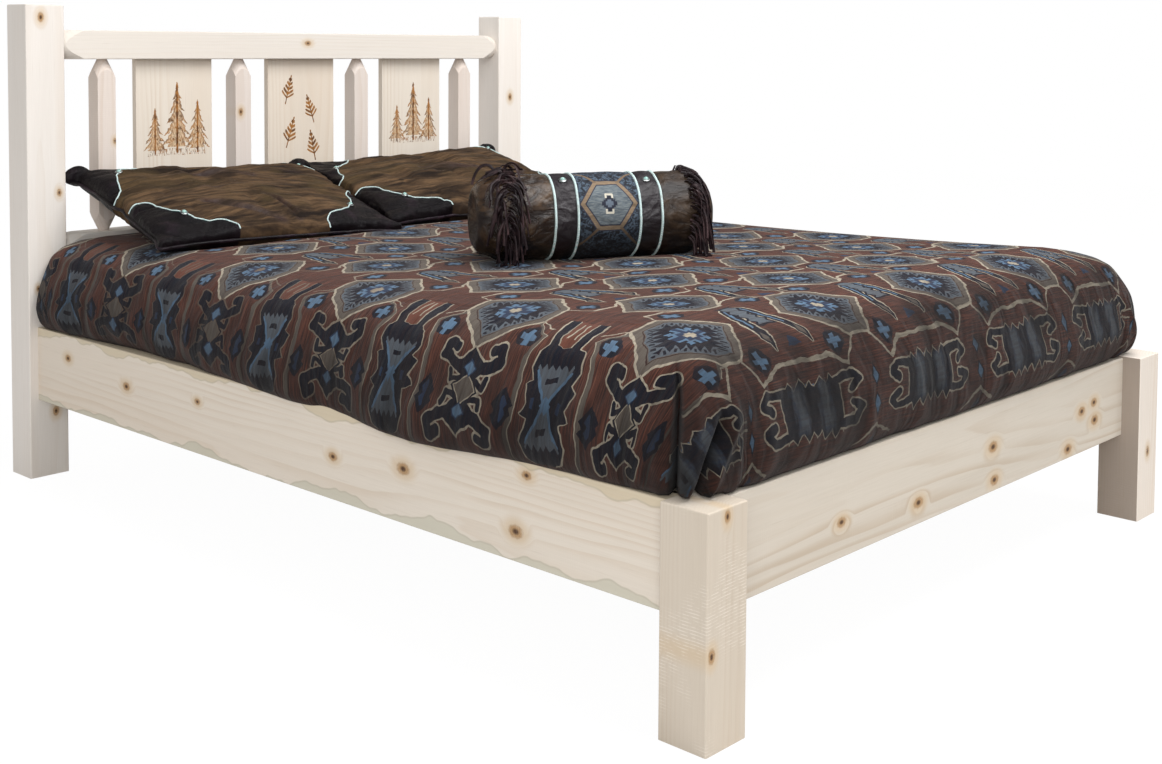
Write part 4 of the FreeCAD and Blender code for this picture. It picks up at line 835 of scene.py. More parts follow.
def kilimMaterial(k):
    p = Paint("wovenCover", Sheen_Weight=0.06, Sheen_Roughness=0.6, Specular_IOR_Level=0.08)
    tone = dict(dyes)
    cloth = p.node("UVMap", dict(uv_map="cloth"))

    def wavy(scale, detail, reach):
        return p.vector("MULTIPLY_ADD", p.noise(cloth, scale, detail, 0.5, out="Color"), (reach * 2, reach * 2, 0.0),
                        (-reach, -reach, 0.0))

    # yarns never run quite straight
    u, v, _ = p.axes(p.vector("ADD", p.vector("ADD", cloth, wavy(55, 1, 0.0035)), wavy(13, 2, 0.013)))
    au = abs(u)
    streak = p.noise(cloth, 1.0, 3, 0.6, stretch=(16.0, 330.0, 1.0))
    colour = p.mix(streak.step(0.34, 0.64), tone["groundDark"], tone["ground"])
    colour = p.mix(streak.step(0.58, 0.76, 0.0, 0.8), colour, tone["rust"])
    # the pale outlines have worn away toward the head
    faded = (v + au * 0.5).step(-0.35, 0.75) * au.step(0.60, 0.72, 0.35, 0.9)
    tone["tan"] = p.mix(faded, dyes["tan"], dyes["worn"])
    colour = p.mix(p.noise(cloth, 5.5, 2, 0.5).step(0.4, 0.7, 0.0, 0.35), colour, tone["groundDark"])

    def coat(*layers):
        # each dye where its mask is 1, the last on top
        nonlocal colour
        colour = p.coats(colour, *((mask, tone[name]) for name, mask in layers))

    def tri(value, period):
        return abs(value.part(period) - 0.5) * 2.0

    def within(value, half, middle=0.0):
        return abs(value - middle if middle else value).below(half)

    def brokenLine(point, *path):
        return extreme([p.segment(point, a, b) for a, b in zip(path, path[1:])], "least")

    cellP, cellQ = (u - k["startU"]) / k["cellU"], (v - k["startV"]) / k["cellV"]
    a1, b1 = (((cell + 0.5).part() - 0.5) * k[size] for cell, size in ((cellP, "cellU"), (cellQ, "cellV")))
    a2, b2 = ((cell.part() - 0.5) * k[size] for cell, size in ((cellP, "cellU"), (cellQ, "cellV")))
    fa, fb = abs(a1), abs(b1)
    inField = au.below(k["fieldHalf"]) * v.above(-1.085)
    atFoot = v.below(k["foot"]) * au.below(0.86)
    onSide = au.above(0.738) * v.above(-1.12)

    # thin lines that tie the medallions together
    line = p.curve(fa / 0.187, [(0, 0.40), (0.16, 0.40), (0.27, 0.58), (0.56, 0.58), (0.84, 0.43), (1, 0.43)]) * 0.25
    coat(("tan", within(fb - line, 0.0035) * fa.above(0.03) * fa.below(0.157) * inField))
    line = p.curve(fa / 0.187, [(0, 0.42), (0.15, 0.42), (0.33, 0.62), (0.60, 0.50), (1, 0.50)]) * 0.25
    coat(("tan", within(0.0 - b1 - line, 0.0045) * atFoot * fa.above(0.026)))
    line = p.curve((au - 0.70) / 0.3, [(0, 0.5), (0.15, 0.5), (0.25, 0.72), (0.4, 0.63), (1, 0.62)]) * 0.2
    coat(("dull", within(fb - line, 0.0062) * onSide),
         ("tan", within(fb - line, 0.0012, 0.0048) * onSide))

    # small crosses beside each medallion
    cx, cy = abs(fa - 0.078), abs(fb - 0.108)
    long, short = cx.most(cy), cx.least(cy)
    where = au.below(0.80) * v.above(-1.14)
    coat(("navy", (long + short * 0.8).below(0.031) * where * long.step(0.02, 0.03, 1.0, 0.4)),
         ("blue", long.below(0.0175) * short.below(0.006) * where))

    # combs between the medallions
    pick = (abs(a2) + fb).below(fa + abs(b2))
    ca, cb = abs(a1 + (a2 - a1) * pick), b2 + (b1 - b2) * pick
    where = pick.most(au.below(0.64)) * v.above(-1.09) * au.below(0.70)
    prong = abs(ca - (0.036 - cb * 0.22)) + abs(cb).step(0.060, 0.082, 0.0, 0.02)
    tip = abs(ca - 0.050) * 1.5 + abs(cb + 0.062) * 0.62 - 0.008
    body = (ca - (0.014 + tri(cb, 0.022) * 0.010)).most(abs(cb - 0.028) - 0.052)
    spike = ca + (cb + 0.088) * 0.8
    coat(("tan", prong.below(0.0145).most(tip.below(0.0165)) * where),
         ("navy", prong.below(0.0105).most(tip.below(0.0125)) * where),
         ("blue", prong.below(0.0028) * cb.above(-0.03) * where),
         ("dull", tip.below(0.0035) * where),
         ("navy", body.below(0.003) * where),
         ("grey", body.below(-0.0035) * where),
         ("denim", spike.below(0.014) * cb.above(-0.094) * where))

    # medallions
    def hexagon(a, b):
        return (a * 0.762 + b * 0.648).most(b * 0.876)

    hexA = hexagon(fa, fb) + au.above(0.84) + v.below(-1.13)
    hexB = hexagon(abs(a2), abs(b2)) + au.above(0.74) + v.below(-1.085)
    pick = hexB.below(hexA)
    h = hexA.least(hexB)
    ma, mb = abs(a1 + (a2 - a1) * pick), abs(b1 + (b2 - b1) * pick)
    rings = p.ramp(h * 10.0, [(0.0, tone["grey"]), (0.70, tone["dull"]), (0.718, tone["groundDark"]),
                              (0.735, tone["dull"]), (0.868, dyes["tan"])])
    colour = p.mix(h.below(0.0925), colour, rings)
    tooth = tri(ma - mb, 0.0235)
    qa, qb = (ma / k["stepSize"]).do("FLOOR"), (mb / k["stepSize"]).do("FLOOR")
    diamond, square, arm = qa + qb, qa.most(qb), qa.least(qb)
    petal = (arm.below(1.5) * square.below(5.5)).most(abs(qa - qb).below(1.5) * diamond.below(8.5))
    flower = petal.most(square.below(2.5))
    coat(("navy", h.below(0.043 + tooth * 0.022)),
         ("navy", h.below(0.067) * h.above(0.056) * tooth.below(0.28)),
         ("navy", (square.below(5.5) * diamond.below(9.5) * h.below(0.052)).most(flower)),
         ("blue", flower),
         ("denim", petal * arm.below(0.5) * square.above(2.5)),
         ("denim", square.below(2.5) * diamond.above(1.5)),
         ("tan", diamond.below(1.5)))

    # side border: hooked diamonds
    c = au - k["sideU"]
    low = au.above(0.80)
    t = abs(c)
    spot = p.join(fb, t)
    arms = brokenLine(spot, (0.010, 0.034), (0.050, 0.043), (0.076, 0.055), (0.071, 0.076), (0.052, 0.070))
    claws = brokenLine(spot, (0.020, 0.018), (0.047, 0.010), (0.050, 0.026))
    unit = (fb * 0.66 + abs(t - 0.040) - 0.033) * 0.76
    waist = (fb * 0.80 + t - 0.033) * 0.72
    shape = (arms - 0.0098).least(claws - 0.0052).least(unit).least(waist)
    eye = fb + abs(t - 0.038) * 1.1
    coat(("tan", shape.below(0.0034) * low),
         ("navy", shape.below(0.0) * low),
         ("tan", (waist + 0.0035).below(0.0) * low),
         ("dull", (waist + 0.0058).below(0.0) * low),
         ("denim", eye.below(0.0185) * low),
         ("blue", eye.below(0.0145) * low))

    # and forked figures in turn with them
    s = abs(b2)
    rise = (c + 0.175) / 0.275
    width = p.curve(rise, [(0.0, 0.66), (0.10, 0.70), (0.28, 0.52), (0.31, 0.70), (0.42, 0.80), (0.50, 0.60),
                           (0.53, 0.84), (0.64, 0.66), (0.70, 0.86), (0.73, 0.58), (0.86, 0.76), (0.95, 0.60),
                           (1.0, 0.30)]) * 0.07
    notch = p.curve(rise, [(0.0, 0.40), (0.18, 0.34), (0.27, 0.26), (0.285, 0.0), (1.0, 0.0)]) * 0.07
    rows = c.above(-0.172) * c.below(0.098) * v.above(-1.02)
    fork = abs(s - (0.006 + (c + 0.17) * 0.10))
    mid = abs(c - 0.002)
    glass = s - (mid * 0.62 + 0.003)
    fringe = mid + tri(s, 0.016) * 0.010
    coat(("tan", s.below(width + 0.0035) * rows),
         ("navy", s.below(width) * rows),
         ("tan", s.below(notch) * rows),
         ("ground", s.below(notch - 0.003) * rows),
         ("tan", fork.below(0.0022) * c.above(-0.165) * c.below(-0.118)),
         ("grey", glass.below(0.0) * fringe.below(0.068)),
         ("blue", within(glass, 0.0035) * fringe.below(0.060)),
         ("navy", within(mid, 0.005, 0.040) * s.below(0.012)),
         ("blue", (s * 1.2 + mid).below(0.015)),
         ("denim", within(s, 0.0045, 0.032) * mid.below(0.008)))

    # small arrowheads between them
    head = abs(fb - 0.102) * 1.1 + abs(abs(c - 0.018) - 0.008)
    coat(("navy", head.below(0.026) * low),
         ("denim", head.below(0.013) * low * fb.above(0.098)))

    # foot border: broad brackets
    d = v - k["footV"]
    e = abs(a2)
    foot = v.below(-1.135) * au.below(0.93)
    hooks = brokenLine(p.join(e, abs(d)), (0.070, 0.036), (0.118, 0.040), (0.136, 0.024), (0.112, 0.013)) - 0.0075
    crown = (e - 0.080).most(abs(d + 0.003) - (0.036 + tri(e + 0.004, 0.031) * 0.018))
    shape = hooks.least(crown)
    coat(("tan", shape.below(0.0034) * foot), ("navy", shape.below(0.0) * foot))
    # two washed-out wings with a dark cleft between them
    spread = p.noise(cloth, 1.0, 3, 0.6, stretch=(120.0, 30.0, 1.0)) - 0.5
    wing = abs(e - 0.034 - abs(d) * 0.12) + spread * 0.030
    wing = wing.step(0.008, 0.024, 1.0, 0.0) * (abs(d) + spread * 0.03).step(0.028, 0.050, 1.0, 0.0)
    coat(("grey", wing * foot * 0.85), ("denim", wing.step(0.2, 0.6) * wing.step(0.6, 1.0, 1.0, 0.0) * foot * 0.5))
    # small lozenges and roofs between the brackets
    gem = fa * 1.7 + abs((abs(d + 0.002) - 0.026))
    coat(("navy", gem.below(0.022) * foot),
         ("blue", gem.below(0.0155) * foot),
         ("tan", within(d + 0.062 + fa * 0.55, 0.0035) * fa.below(0.062) * foot),
         ("denim", (fa * 1.2 + abs(d + 0.098)).below(0.017) * foot))

    # worn, uneven dyeing, painted shade darkening the lower hem, then the weave itself
    dye = p.noise(cloth, 1.0, 3, 0.65, stretch=(12.0, 160.0, 1.0))
    hem = (au - 0.93).step(0.0, 0.10).most((0.0 - v - 1.24).step(0.0, 0.10))
    fleck = p.noise(cloth, 1.0, 2, 0.6, stretch=(170.0, 520.0, 1.0))
    # painted shade: the drops are darker than the top, and darker again in the soft dents that the filling draws down
    # them
    drop = (au - 0.73).step(0.0, 0.26, 0.0, 0.55).most((0.0 - v - 0.97).step(0.0, 0.16, 0.0, 0.60))
    acrossSide, acrossFoot = (p.noise(p.join(u * a, v * b), 1.0, 2, 0.5, 0.4) for a, b in ((7.0, 19.0), (19.0, 7.0)))
    dents = acrossSide * onSide + acrossFoot * (1.0 - onSide)
    coat(("groundDark", dye.step(0.35, 0.7, 0.0, 0.42)),
         ("soil", hem * 0.5),
         ("dull", fleck.step(0.55, 0.8, 0.0, 0.24)),
         ("navy", fleck.step(0.2, 0.42, 0.4, 0.0)),
         ("deep", drop),
         ("deep", dents.step(0.36, 0.56, 1.0, 0.0) * drop))
    rib = (u * k["ribU"] + fleck * 5).do("SINE") * (v * k["ribV"]).do("SINE")
    height = streak * 0.6 + fleck * 0.7 + rib * 0.12
    return p.finish(colour, streak * 0.2 + 0.66, p.bump(height, 0.6, 0.0012, p.bump(dents, 0.7, 0.022)))


quilt.data.materials.append(kilimMaterial(kilim))
print("cover woven")


# cloth under pressure, for everything that is stuffed

def inflate(obj, s):
    # a remeshed copy swells as cloth, no point moving further than the cap, then one subdivision
    scene = bpy.context.scene
    mod = obj.modifiers.new("Remesh", "REMESH")
    mod.mode, mod.voxel_size = "VOXEL", s["voxel"]
    bakeModifiers(obj)
    start = pointsOf(obj)
    mod = obj.modifiers.new("Cloth", "CLOTH")
    cloth = mod.settings
    cloth.quality, cloth.mass, cloth.bending_stiffness = 4, 0.25, s["stiff"]
    cloth.tension_stiffness = cloth.compression_stiffness = 12
    cloth.shrink_min = -s["grow"]
    cloth.use_pressure, cloth.uniform_pressure_force = True, s["pressure"]
    cloth.effector_weights.gravity = 0
    mod.collision_settings.use_collision = False
    mod.point_cache.frame_start, mod.point_cache.frame_end = 1, s["frames"]
    for number in range(1, s["frames"] + 1):
        scene.frame_set(number)
    bakeModifiers(obj)
    scene.frame_set(1)
    move = pointsOf(obj) - start
    far = np.linalg.norm(move, axis=1)
    print(obj.name, "cloth: mean", round(float(far.mean()) * 1000, 1), "most", round(float(far.max()) * 1000, 1), "mm")
    move *= np.minimum(1, s["cap"] / np.maximum(far, 1e-9))[:, None]
    putPoints(obj, start + move)
    obj.data.shade_smooth()
    return subdivide(obj)


# hide colours shared by the pillows and the bolster

hide = colours(suede=(104, 80, 56), shade=(30, 20, 14), olive=(72, 58, 34), polish=(50, 36, 38), dark=(10, 4, 8),
               darkWorn=(42, 27, 38), brown=(30, 19, 13), brownWorn=(84, 62, 40), pale=(234, 241, 240),
               strip=(30, 18, 22), stripWorn=(74, 55, 56), sea=(160, 206, 204), silver=(188, 192, 192),
               lacingSoil=(150, 150, 140), stone=(118, 178, 172), stonePale=(198, 228, 220), vein=(70, 74, 62),
               tarnish=(112, 118, 116))


def grainOf(p, place, scale):
    # pebbled leather grain, with fine pores
    pebble = p.cells(place, scale, "DISTANCE_TO_EDGE")
    return pebble.step(0.0, 0.25) * 0.7 + p.noise(place, scale * 3.0, 2, 0.6) * 0.4


def darkLeather(name="darkLeather", dark="dark", light="darkWorn"):
    p = Paint(name, Specular_IOR_Level=0.28)
    place = p.place()
    worn = p.noise(place, 22, 3, 0.6)
    grain = grainOf(p, place, 620)
    return p.finish(p.mix(worn.step(0.42, 0.7), hide[dark], hide[light]), grain * 0.2 + 0.30,
                    p.bump(grain, 0.4, 0.0006, p.bump(worn, 0.5, 0.004)))


def braidMaterial():
    # two-tone lacing, wound round itself
    p = Paint("lacing", Specular_IOR_Level=0.4, Sheen_Weight=0.1)
    place = p.place()
    x, y, z = p.axes(place)
    turn = abs(((x * 1.3 + y * 1.1 + z * 1.6) * 210).part() - 0.5)
    soil = p.noise(place, 60, 2, 0.6)
    colour = p.mix(turn.step(0.12, 0.34), hide["sea"], hide["pale"])
    return p.finish(p.mix(soil.step(0.5, 0.8, 0.0, 0.5), colour, hide["lacingSoil"]), soil * 0.3 + 0.4,
                    p.bump(turn, 0.8, 0.0012))


def stoneMaterial():
    p = Paint("turquoiseStone", Coat_Weight=0.5, Coat_Roughness=0.12)
    place = p.place()
    vein = p.cells(place, 260, "DISTANCE_TO_EDGE").step(0.0, 0.07, 1.0, 0.0)
    cloud = p.noise(place, 130, 3, 0.6)
    colour = p.mix(cloud, hide["stone"], hide["stonePale"])
    return p.finish(p.mix(vein * 0.6, colour, hide["vein"]), cloud * 0.2 + 0.18, p.bump(vein, 0.3, 0.0004))


def silverMaterial():
    p = Paint("agedSilver", Metallic=1.0)
    place = p.place()
    tarnish = p.noise(place, 210, 3, 0.6)
    return p.finish(p.mix(tarnish.step(0.4, 0.7), hide["silver"], hide["tarnish"]), tarnish * 0.35 + 0.16,
                    p.bump(p.noise(place, 900, 2, 0.5), 0.3, 0.0003))


leatherDark, lacing, stone, silver = darkLeather(), braidMaterial(), stoneMaterial(), silverMaterial()
# rings run outward in: share of the radius, height; the last ones are the stone
concho = dict(radius=0.0092, sides=40, lobes=10, scallop=0.055, scallopFrom=0.75, top=0.0079, under=-0.0008, metal=5,
              rings=((1.0, 0.0), (1.04, 0.0012), (0.97, 0.0026), (0.80, 0.0034), (0.66, 0.0030), (0.60, 0.0040),
                     (0.56, 0.0052), (0.42, 0.0066), (0.22, 0.0076)))


def makeConchos(name, places, s):
    # scalloped silver buttons with a stone, each at a point and a normal
    verts, faces, stones = [], [], []
    count, rows = s["sides"], len(s["rings"])
    for at, normal in places:
        turn = Vector(normal).to_track_quat("Z", "Y")
        base = len(verts)
        points = []
        for share, height in s["rings"]:
            for t in around(count):
                lobe = 1 + s["scallop"] * math.cos(s["lobes"] * t) * (share > s["scallopFrom"])
                x, y = (side * s["radius"] * share * lobe for side in (math.cos(t), math.sin(t)))
                points.append((x, y, height))
        points += [(0, 0, s["top"]), (0, 0, s["under"])]
        verts += [Vector(at) + turn @ Vector(point) for point in points]
        faces += ringFaces(rows, count, base)
        stones += [r >= s["metal"] for r in range(rows - 1) for _ in range(count)]
        last, top = base + (rows - 1) * count, base + rows * count
        for k in range(count):
            m = (k + 1) % count
            faces += [(last + k, last + m, top), (base + m, base + k, top + 1)]
            stones += [True, False]
    obj = makeObject(name, verts, faces, [silver, stone])
    obj.data.polygons.foreach_set("material_index", [int(isStone) for isStone in stones])
    return obj


# how the quilt gives way: where it lies flat, and how far and how fast a dent spreads
giving = dict(level=0.585, front=-0.55, below=0.57, gap=0.0012, rounds=6, keep=0.98)


def pressDown(surface, s=giving):
    # the quilt gives way under what lies on it
    co = pointsOf(quilt)
    sink = np.zeros(len(co))
    for i in np.flatnonzero((co[:, 2] > s["level"]) & (co[:, 1] > s["front"])):
        x, y, z = co[i]
        hit = surface.ray_cast(Vector((x, y, s["below"])), Vector((0, 0, 1)))
        if hit[0] is not None and hit[0].z - s["gap"] < z:
            sink[i] = z - (hit[0].z - s["gap"])
    edges = np.array([e.vertices[:] for e in quilt.data.edges])
    spread = sink.copy()
    for _ in range(s["rounds"]):
        total, count = np.zeros(len(co)), np.zeros(len(co))
        for a, b in ((0, 1), (1, 0)):
            np.add.at(total, edges[:, a], spread[edges[:, b]])
            np.add.at(count, edges[:, a], 1)
        spread = np.maximum(sink, total / np.maximum(count, 1) * s["keep"])
    co[:, 2] -= np.where(co[:, 2] > s["level"], spread, 0)
    putPoints(quilt, co)
    return float(sink.max())


# pillows: stuffed covers with rounded ears and laced corner patches, leaning toward the headboard

pillow = dict(wide=0.668, deep=0.497, over=0.055, under=0.036, rim=0.004, draw=0.012, cells=(84, 62), power=0.42,
              voxel=0.0055, pressure=3.0, grow=0.05, stiff=0.4, cap=0.010, frames=16, welt=0.0044, lace=0.0018,
              patch=[(0, .136), (11.5, .138), (21.8, .158), (29.3, .192), (36.8, .209), (45, .205)])
knob = dict(size=(0.034, 0.024, 0.020), inset=(0.014, 0.008), lift=0.004, rows=11, sides=20)
# sag: how far each corner sinks, front left, front right, back left, back right
pillowPlaces = dict(
    pillow_left=dict(at=(-0.394, 0.8137, 0.6805), yaw=-3.0, lean=14.4, seed=3, wider=0.0, sag=(0, -0.012, 0.006, 0.0),
                     swells=[(-0.26, 0.16, 0.09, 0.008), (0.06, 0.19, 0.12, -0.012)],
                     creases=[((-0.16, -0.11), (0.0, -0.21), 0.016), ((0.02, -0.09), (0.05, -0.21), 0.012),
                              ((-0.15, 0.10), (0.06, 0.06), 0.018)]),
    pillow_right=dict(at=(0.330, 0.8160, 0.6808), yaw=-2.6, lean=14.4, seed=8, wider=0.045, sag=(0, 0, 0, 0.008),
                      swells=[(-0.24, 0.16, 0.12, -0.018), (0.02, 0.18, 0.13, -0.012)],
                      creases=[((-0.10, 0.02), (0.02, 0.0), 0.014), ((-0.08, -0.03), (0.06, -0.02), 0.02),
                               ((0.10, -0.20), (0.22, -0.05), 0.016)]))


def turned(points, place):
    # from the piece's own frame to the bed's
    move = (Matrix.Translation(place["at"]) @ Matrix.Rotation(math.radians(place["yaw"]), 4, "Z")
            @ Matrix.Rotation(math.radians(place.get("lean", 0)), 4, "X"))
    m = np.array(move)
    return np.asarray(points) @ m[:3, :3].T + m[:3, 3]


def settle(points, place):
    out = turned(points, place)
    a = np.clip(points[:, 0] / pillow["wide"] + 0.5, 0, 1)
    b = np.clip(points[:, 1] / pillow["deep"] + 0.5, 0, 1)
    fl, fr, bl, br = place["sag"]
    out[:, 2] += fl * (1 - a) * (1 - b) + fr * a * (1 - b) + bl * (1 - a) * b + br * a * b
    return out


def pillowPlan(a, b, s, place):
    x = a * (s["wide"] / 2 - s["draw"] * (1 - b * b))
    y = b * (s["deep"] / 2 - s["draw"] * (1 - a * a))
    x = x - place["wider"] * np.clip(-a, 0, 1)
    # each corner ends in a blunt ear that sticks out a little
    ear, tip = (np.abs(a) * np.abs(b)) ** 12, (np.abs(a) * np.abs(b)) ** 40
    return x * (1 + 0.030 * ear - 0.034 * tip), y * (1 + 0.030 * ear - 0.044 * tip)


def patchScale(sx, sy):
    # the back corners' patches reach less far along the back edge
    return (1.0, 1.0) if sy < 0 else (1.3, 1.0) if sx < 0 else (3.0, 2.4)


def awayFrom(x, y, a, b):
    # distance of points from a line between two places
    run = np.subtract(b, a)
    t = np.clip(((x - a[0]) * run[0] + (y - a[1]) * run[1]) / (run @ run), 0, 1)
    return np.hypot(x - a[0] - t * run[0], y - a[1] - t * run[1]), t


def crowded(count):
    # steps from -1 to 1, closer toward both ends, so the seam stays crisp
    even = np.linspace(-1, 1, count + 1)
    return np.sin(even * math.pi / 2) * 0.55 + even * 0.45


def addKnob(verts, faces, cx, cy, s):
    count, rows, (rx, ry, rz) = s["sides"], s["rows"], s["size"]
    base = len(verts)
    for i in range(1, rows + 1):
        h = math.pi * i / (rows + 1)
        out, z = math.sin(h), s["lift"] + rz * math.cos(h)
        verts += [(cx + rx * out * math.cos(t), cy + ry * out * math.sin(t), z) for t in around(count)]
    verts += [(cx, cy, s["lift"] + rz), (cx, cy, s["lift"] - rz)]
    top, last = len(verts) - 2, base + (rows - 1) * count
    for k in range(count):
        m = (k + 1) % count
        faces += [(top, base + k, base + m), (top + 1, last + m, last + k)]
        faces += [(a + k, a + count + k, a + count + m, a + m) for a in range(base, last, count)]


def makePillow(name, s, place):
    nx, ny = s["cells"]
    a, b = np.meshgrid(crowded(nx), crowded(ny))
    x, y = pillowPlan(a, b, s, place)
    fill = np.clip((1 - a ** 2), 0, 1) ** s["power"] * np.clip((1 - b ** 2), 0, 1) ** s["power"]
    ear = (np.abs(a) * np.abs(b)) ** 10
    swell = Noise3(place["seed"] + 40)
    lumps = swell(np.stack([x * 1.3, y * 0.7, 0 * x + place["seed"]], -1), 0.11) * 0.006
    # gathers at the seams die out inward
    seam = np.clip(1 - np.minimum(1 - np.abs(a), 1 - np.abs(b)) * 5, 0, 1)
    along = np.where(1 - np.abs(a) < 1 - np.abs(b), y, x)
    pucker = swell(np.stack([along, 0 * x, 0 * x + 5], -1), 0.021) * 0.0035 * seam * (1 - seam) * 4
    rim = s["rim"] + 0.009 * ear
    top = rim + (s["over"] - rim) * fill + (lumps + pucker) * fill ** 0.6
    low = -rim - (s["under"] - rim) * fill - pucker * fill
    verts, faces = [], []
    for z in (top, low):
        verts += [tuple(v) for v in np.stack([x, y, z], -1).reshape(-1, 3)]
    row, layer = nx + 1, (nx + 1) * (ny + 1)
    for j in range(ny):
        for k in range(j * row, j * row + nx):
            faces.append((k, k + 1, k + row + 1, k + row))
            faces.append((k + layer, k + layer + row, k + layer + row + 1, k + layer + 1))
    # the back corners bunch up in a knob
    for side in (-1, 1):
        cx = side * (s["wide"] / 2 - knob["inset"][0]) - (place["wider"] if side < 0 else 0)
        addKnob(verts, faces, cx, s["deep"] / 2 - knob["inset"][1], knob)
    border = [*range(nx), *(nx + j * row for j in range(ny))]
    border += [*(ny * row + i for i in range(nx, 0, -1)), *(j * row for j in range(ny, 0, -1))]
    for here, there in zip(border, border[1:] + border[:1]):
        faces.append((there, here, here + layer, there + layer))
    return makeObject(name, verts, faces)


def crumple(points, place):
    # long soft wrinkles and a few sharp creases, on the side that faces up
    x, y, z = points.T
    wrinkle, fine = Noise3(place["seed"]), Noise3(place["seed"] + 80)
    share = np.clip(z / 0.03, 0, 1) ** 1.5
    flat = np.stack([x * 0.34 + y * 0.10, y + 0.010 * np.sin(x * 19), 0 * x + place["seed"]], -1)
    rise = wrinkle(flat, 0.042) * 0.0072 + wrinkle(flat * (2.2, 1.6, 1), 0.031) * 0.0022
    rise -= 0.0042 * np.exp(-(fine(flat * (1.1, 1, 1), 0.058) / 0.10) ** 2)
    for start, stop, wide in place["creases"]:
        away, t = awayFrom(x, y, start, stop)
        bend = np.sin(math.pi * np.clip(t, 0.03, 0.97)) ** 0.5
        ridge, groove = np.exp(-((away - wide * 0.9) / wide) ** 2), np.exp(-(away / (wide * 0.45)) ** 2)
        rise += bend * (0.0065 * ridge - 0.0085 * groove)
    for px, py, wide, lift in place["swells"]:
        rise += lift * np.exp(-((x - px) ** 2 + (y - py) ** 2) / wide ** 2)
    return points + np.stack([0 * x, 0 * x, rise * share], -1)


def hideMaterial(name, s, place):
    # suede body with polished creases, dark leather at the four corners
    p = Paint(name, Specular_IOR_Level=0.2)
    plan = p.node("UVMap", dict(uv_map="plan"))
    x, y, _ = p.axes(plan)
    nap = p.vector("MULTIPLY_ADD", plan, (5.0, 24.0, 1.0), (place["seed"], 0, 0))
    cloud = p.noise(plan, 7.0, 3, 0.55, 0.6)
    brush = p.noise(nap, 1.0, 4, 0.62, 0.5)
    fine = p.noise(plan, 1.0, 2, 0.6, stretch=(90.0, 420.0, 1.0))
    streak = p.noise(plan, 1.0, 3, 0.6, 0.4, stretch=(9.0, 95.0, 1.0))
    shine = extreme([(p.segment(plan, start, stop) + (brush - 0.5) * 0.02).step(wide * 0.25, wide * 1.5, 1.0, 0.0)
                     for start, stop, wide in place["creases"]])
    polish = (shine * brush.step(0.35, 0.6) * 0.8).most(p.noise(nap, 0.55, 3, 0.6).step(0.62, 0.78, 0.0, 0.6))
    # the patches end where the laced lines run
    right, back = x.above(0.0), y.above(0.0)
    cornerX = (s["wide"] / 2 + x.below(0.0) * place["wider"] - abs(x)) * (1.0 + back * (0.3 + right * 1.7))
    cornerY = (s["deep"] / 2 - abs(y)) * (1.0 + back * right * 1.4)
    tilt = abs((cornerY.most(0.0)).do("ARCTAN2", cornerX.most(0.0001)) - math.pi / 4) / (math.pi / 4)
    edge = p.curve(tilt.least(1.0), [(d / 45, r / 0.25) for d, r in s["patch"]]) * 0.25
    patch = (p.vector("LENGTH", p.join(cornerX, cornerY)) - edge).step(-0.0008, 0.0008, 1.0, 0.0)
    grain = grainOf(p, plan, 620)
    worn = p.noise(plan, 18, 3, 0.6)
    colour = p.coats(p.mix(brush.step(0.32, 0.62), hide["shade"], hide["suede"]),
                     (streak.step(0.38, 0.62, 0.6, 0.0), hide["shade"]),
                     (cloud.step(0.45, 0.7, 0.0, 0.6), hide["olive"]),
                     (fine.step(0.4, 0.75, 0.0, 0.35), hide["shade"]),
                     (polish, hide["polish"]),
                     (patch, p.mix(worn.step(0.5, 0.85), hide["dark"], hide["darkWorn"])))
    rough = (0.76 - polish * 0.46 + fine * 0.1) * (1.0 - patch) + (grain * 0.2 + 0.36) * patch
    relief = (fine * 0.5 + brush * 1.2) * (1.0 - patch) + grain * patch * 0.5
    return p.finish(colour, rough, p.bump(relief, 0.6, 0.0014, p.bump(worn, 0.8, 0.012)))


def pillowLaces(s, place, surface):
    # the line round each corner patch, laid on the cover, with a button half way
    paths, buttons = [], []
    degrees, reaches = np.array(s["patch"]).T
    for sx, sy in ((-1, -1), (-1, 1), (1, -1), (1, 1)):
        halfWide = s["wide"] / 2 + (place["wider"] if sx < 0 else 0)
        px, py = patchScale(sx, sy)
        path = []
        for turn in np.linspace(-44.4, 44.4, 61):
            reach, t = np.interp(abs(turn), degrees, reaches), math.radians(45 + turn)
            x, y = sx * (halfWide - reach * math.cos(t) / px), sy * (s["deep"] / 2 - reach * math.sin(t) / py)
            at, normal, *_ = surface.ray_cast(Vector((x, y, 0.3)), Vector((0, 0, -1)))
            if at is not None:
                path.append(at + normal * 0.0008)
                if abs(turn) < 0.5:
                    buttons.append((at, normal))
        paths.append(path)
    return paths, buttons


def rimPlan(place):
    # points round the seam, as shares of the half sizes
    long, short = np.linspace(-1, 1, 61)[:-1], np.linspace(-1, 1, 47)[:-1]
    rim = [(t, -1) for t in long] + [(1, t) for t in short] + [(-t, 1) for t in long] + [(-1, -t) for t in short]
    return zip(*pillowPlan(*np.array(rim).T, pillow, place))


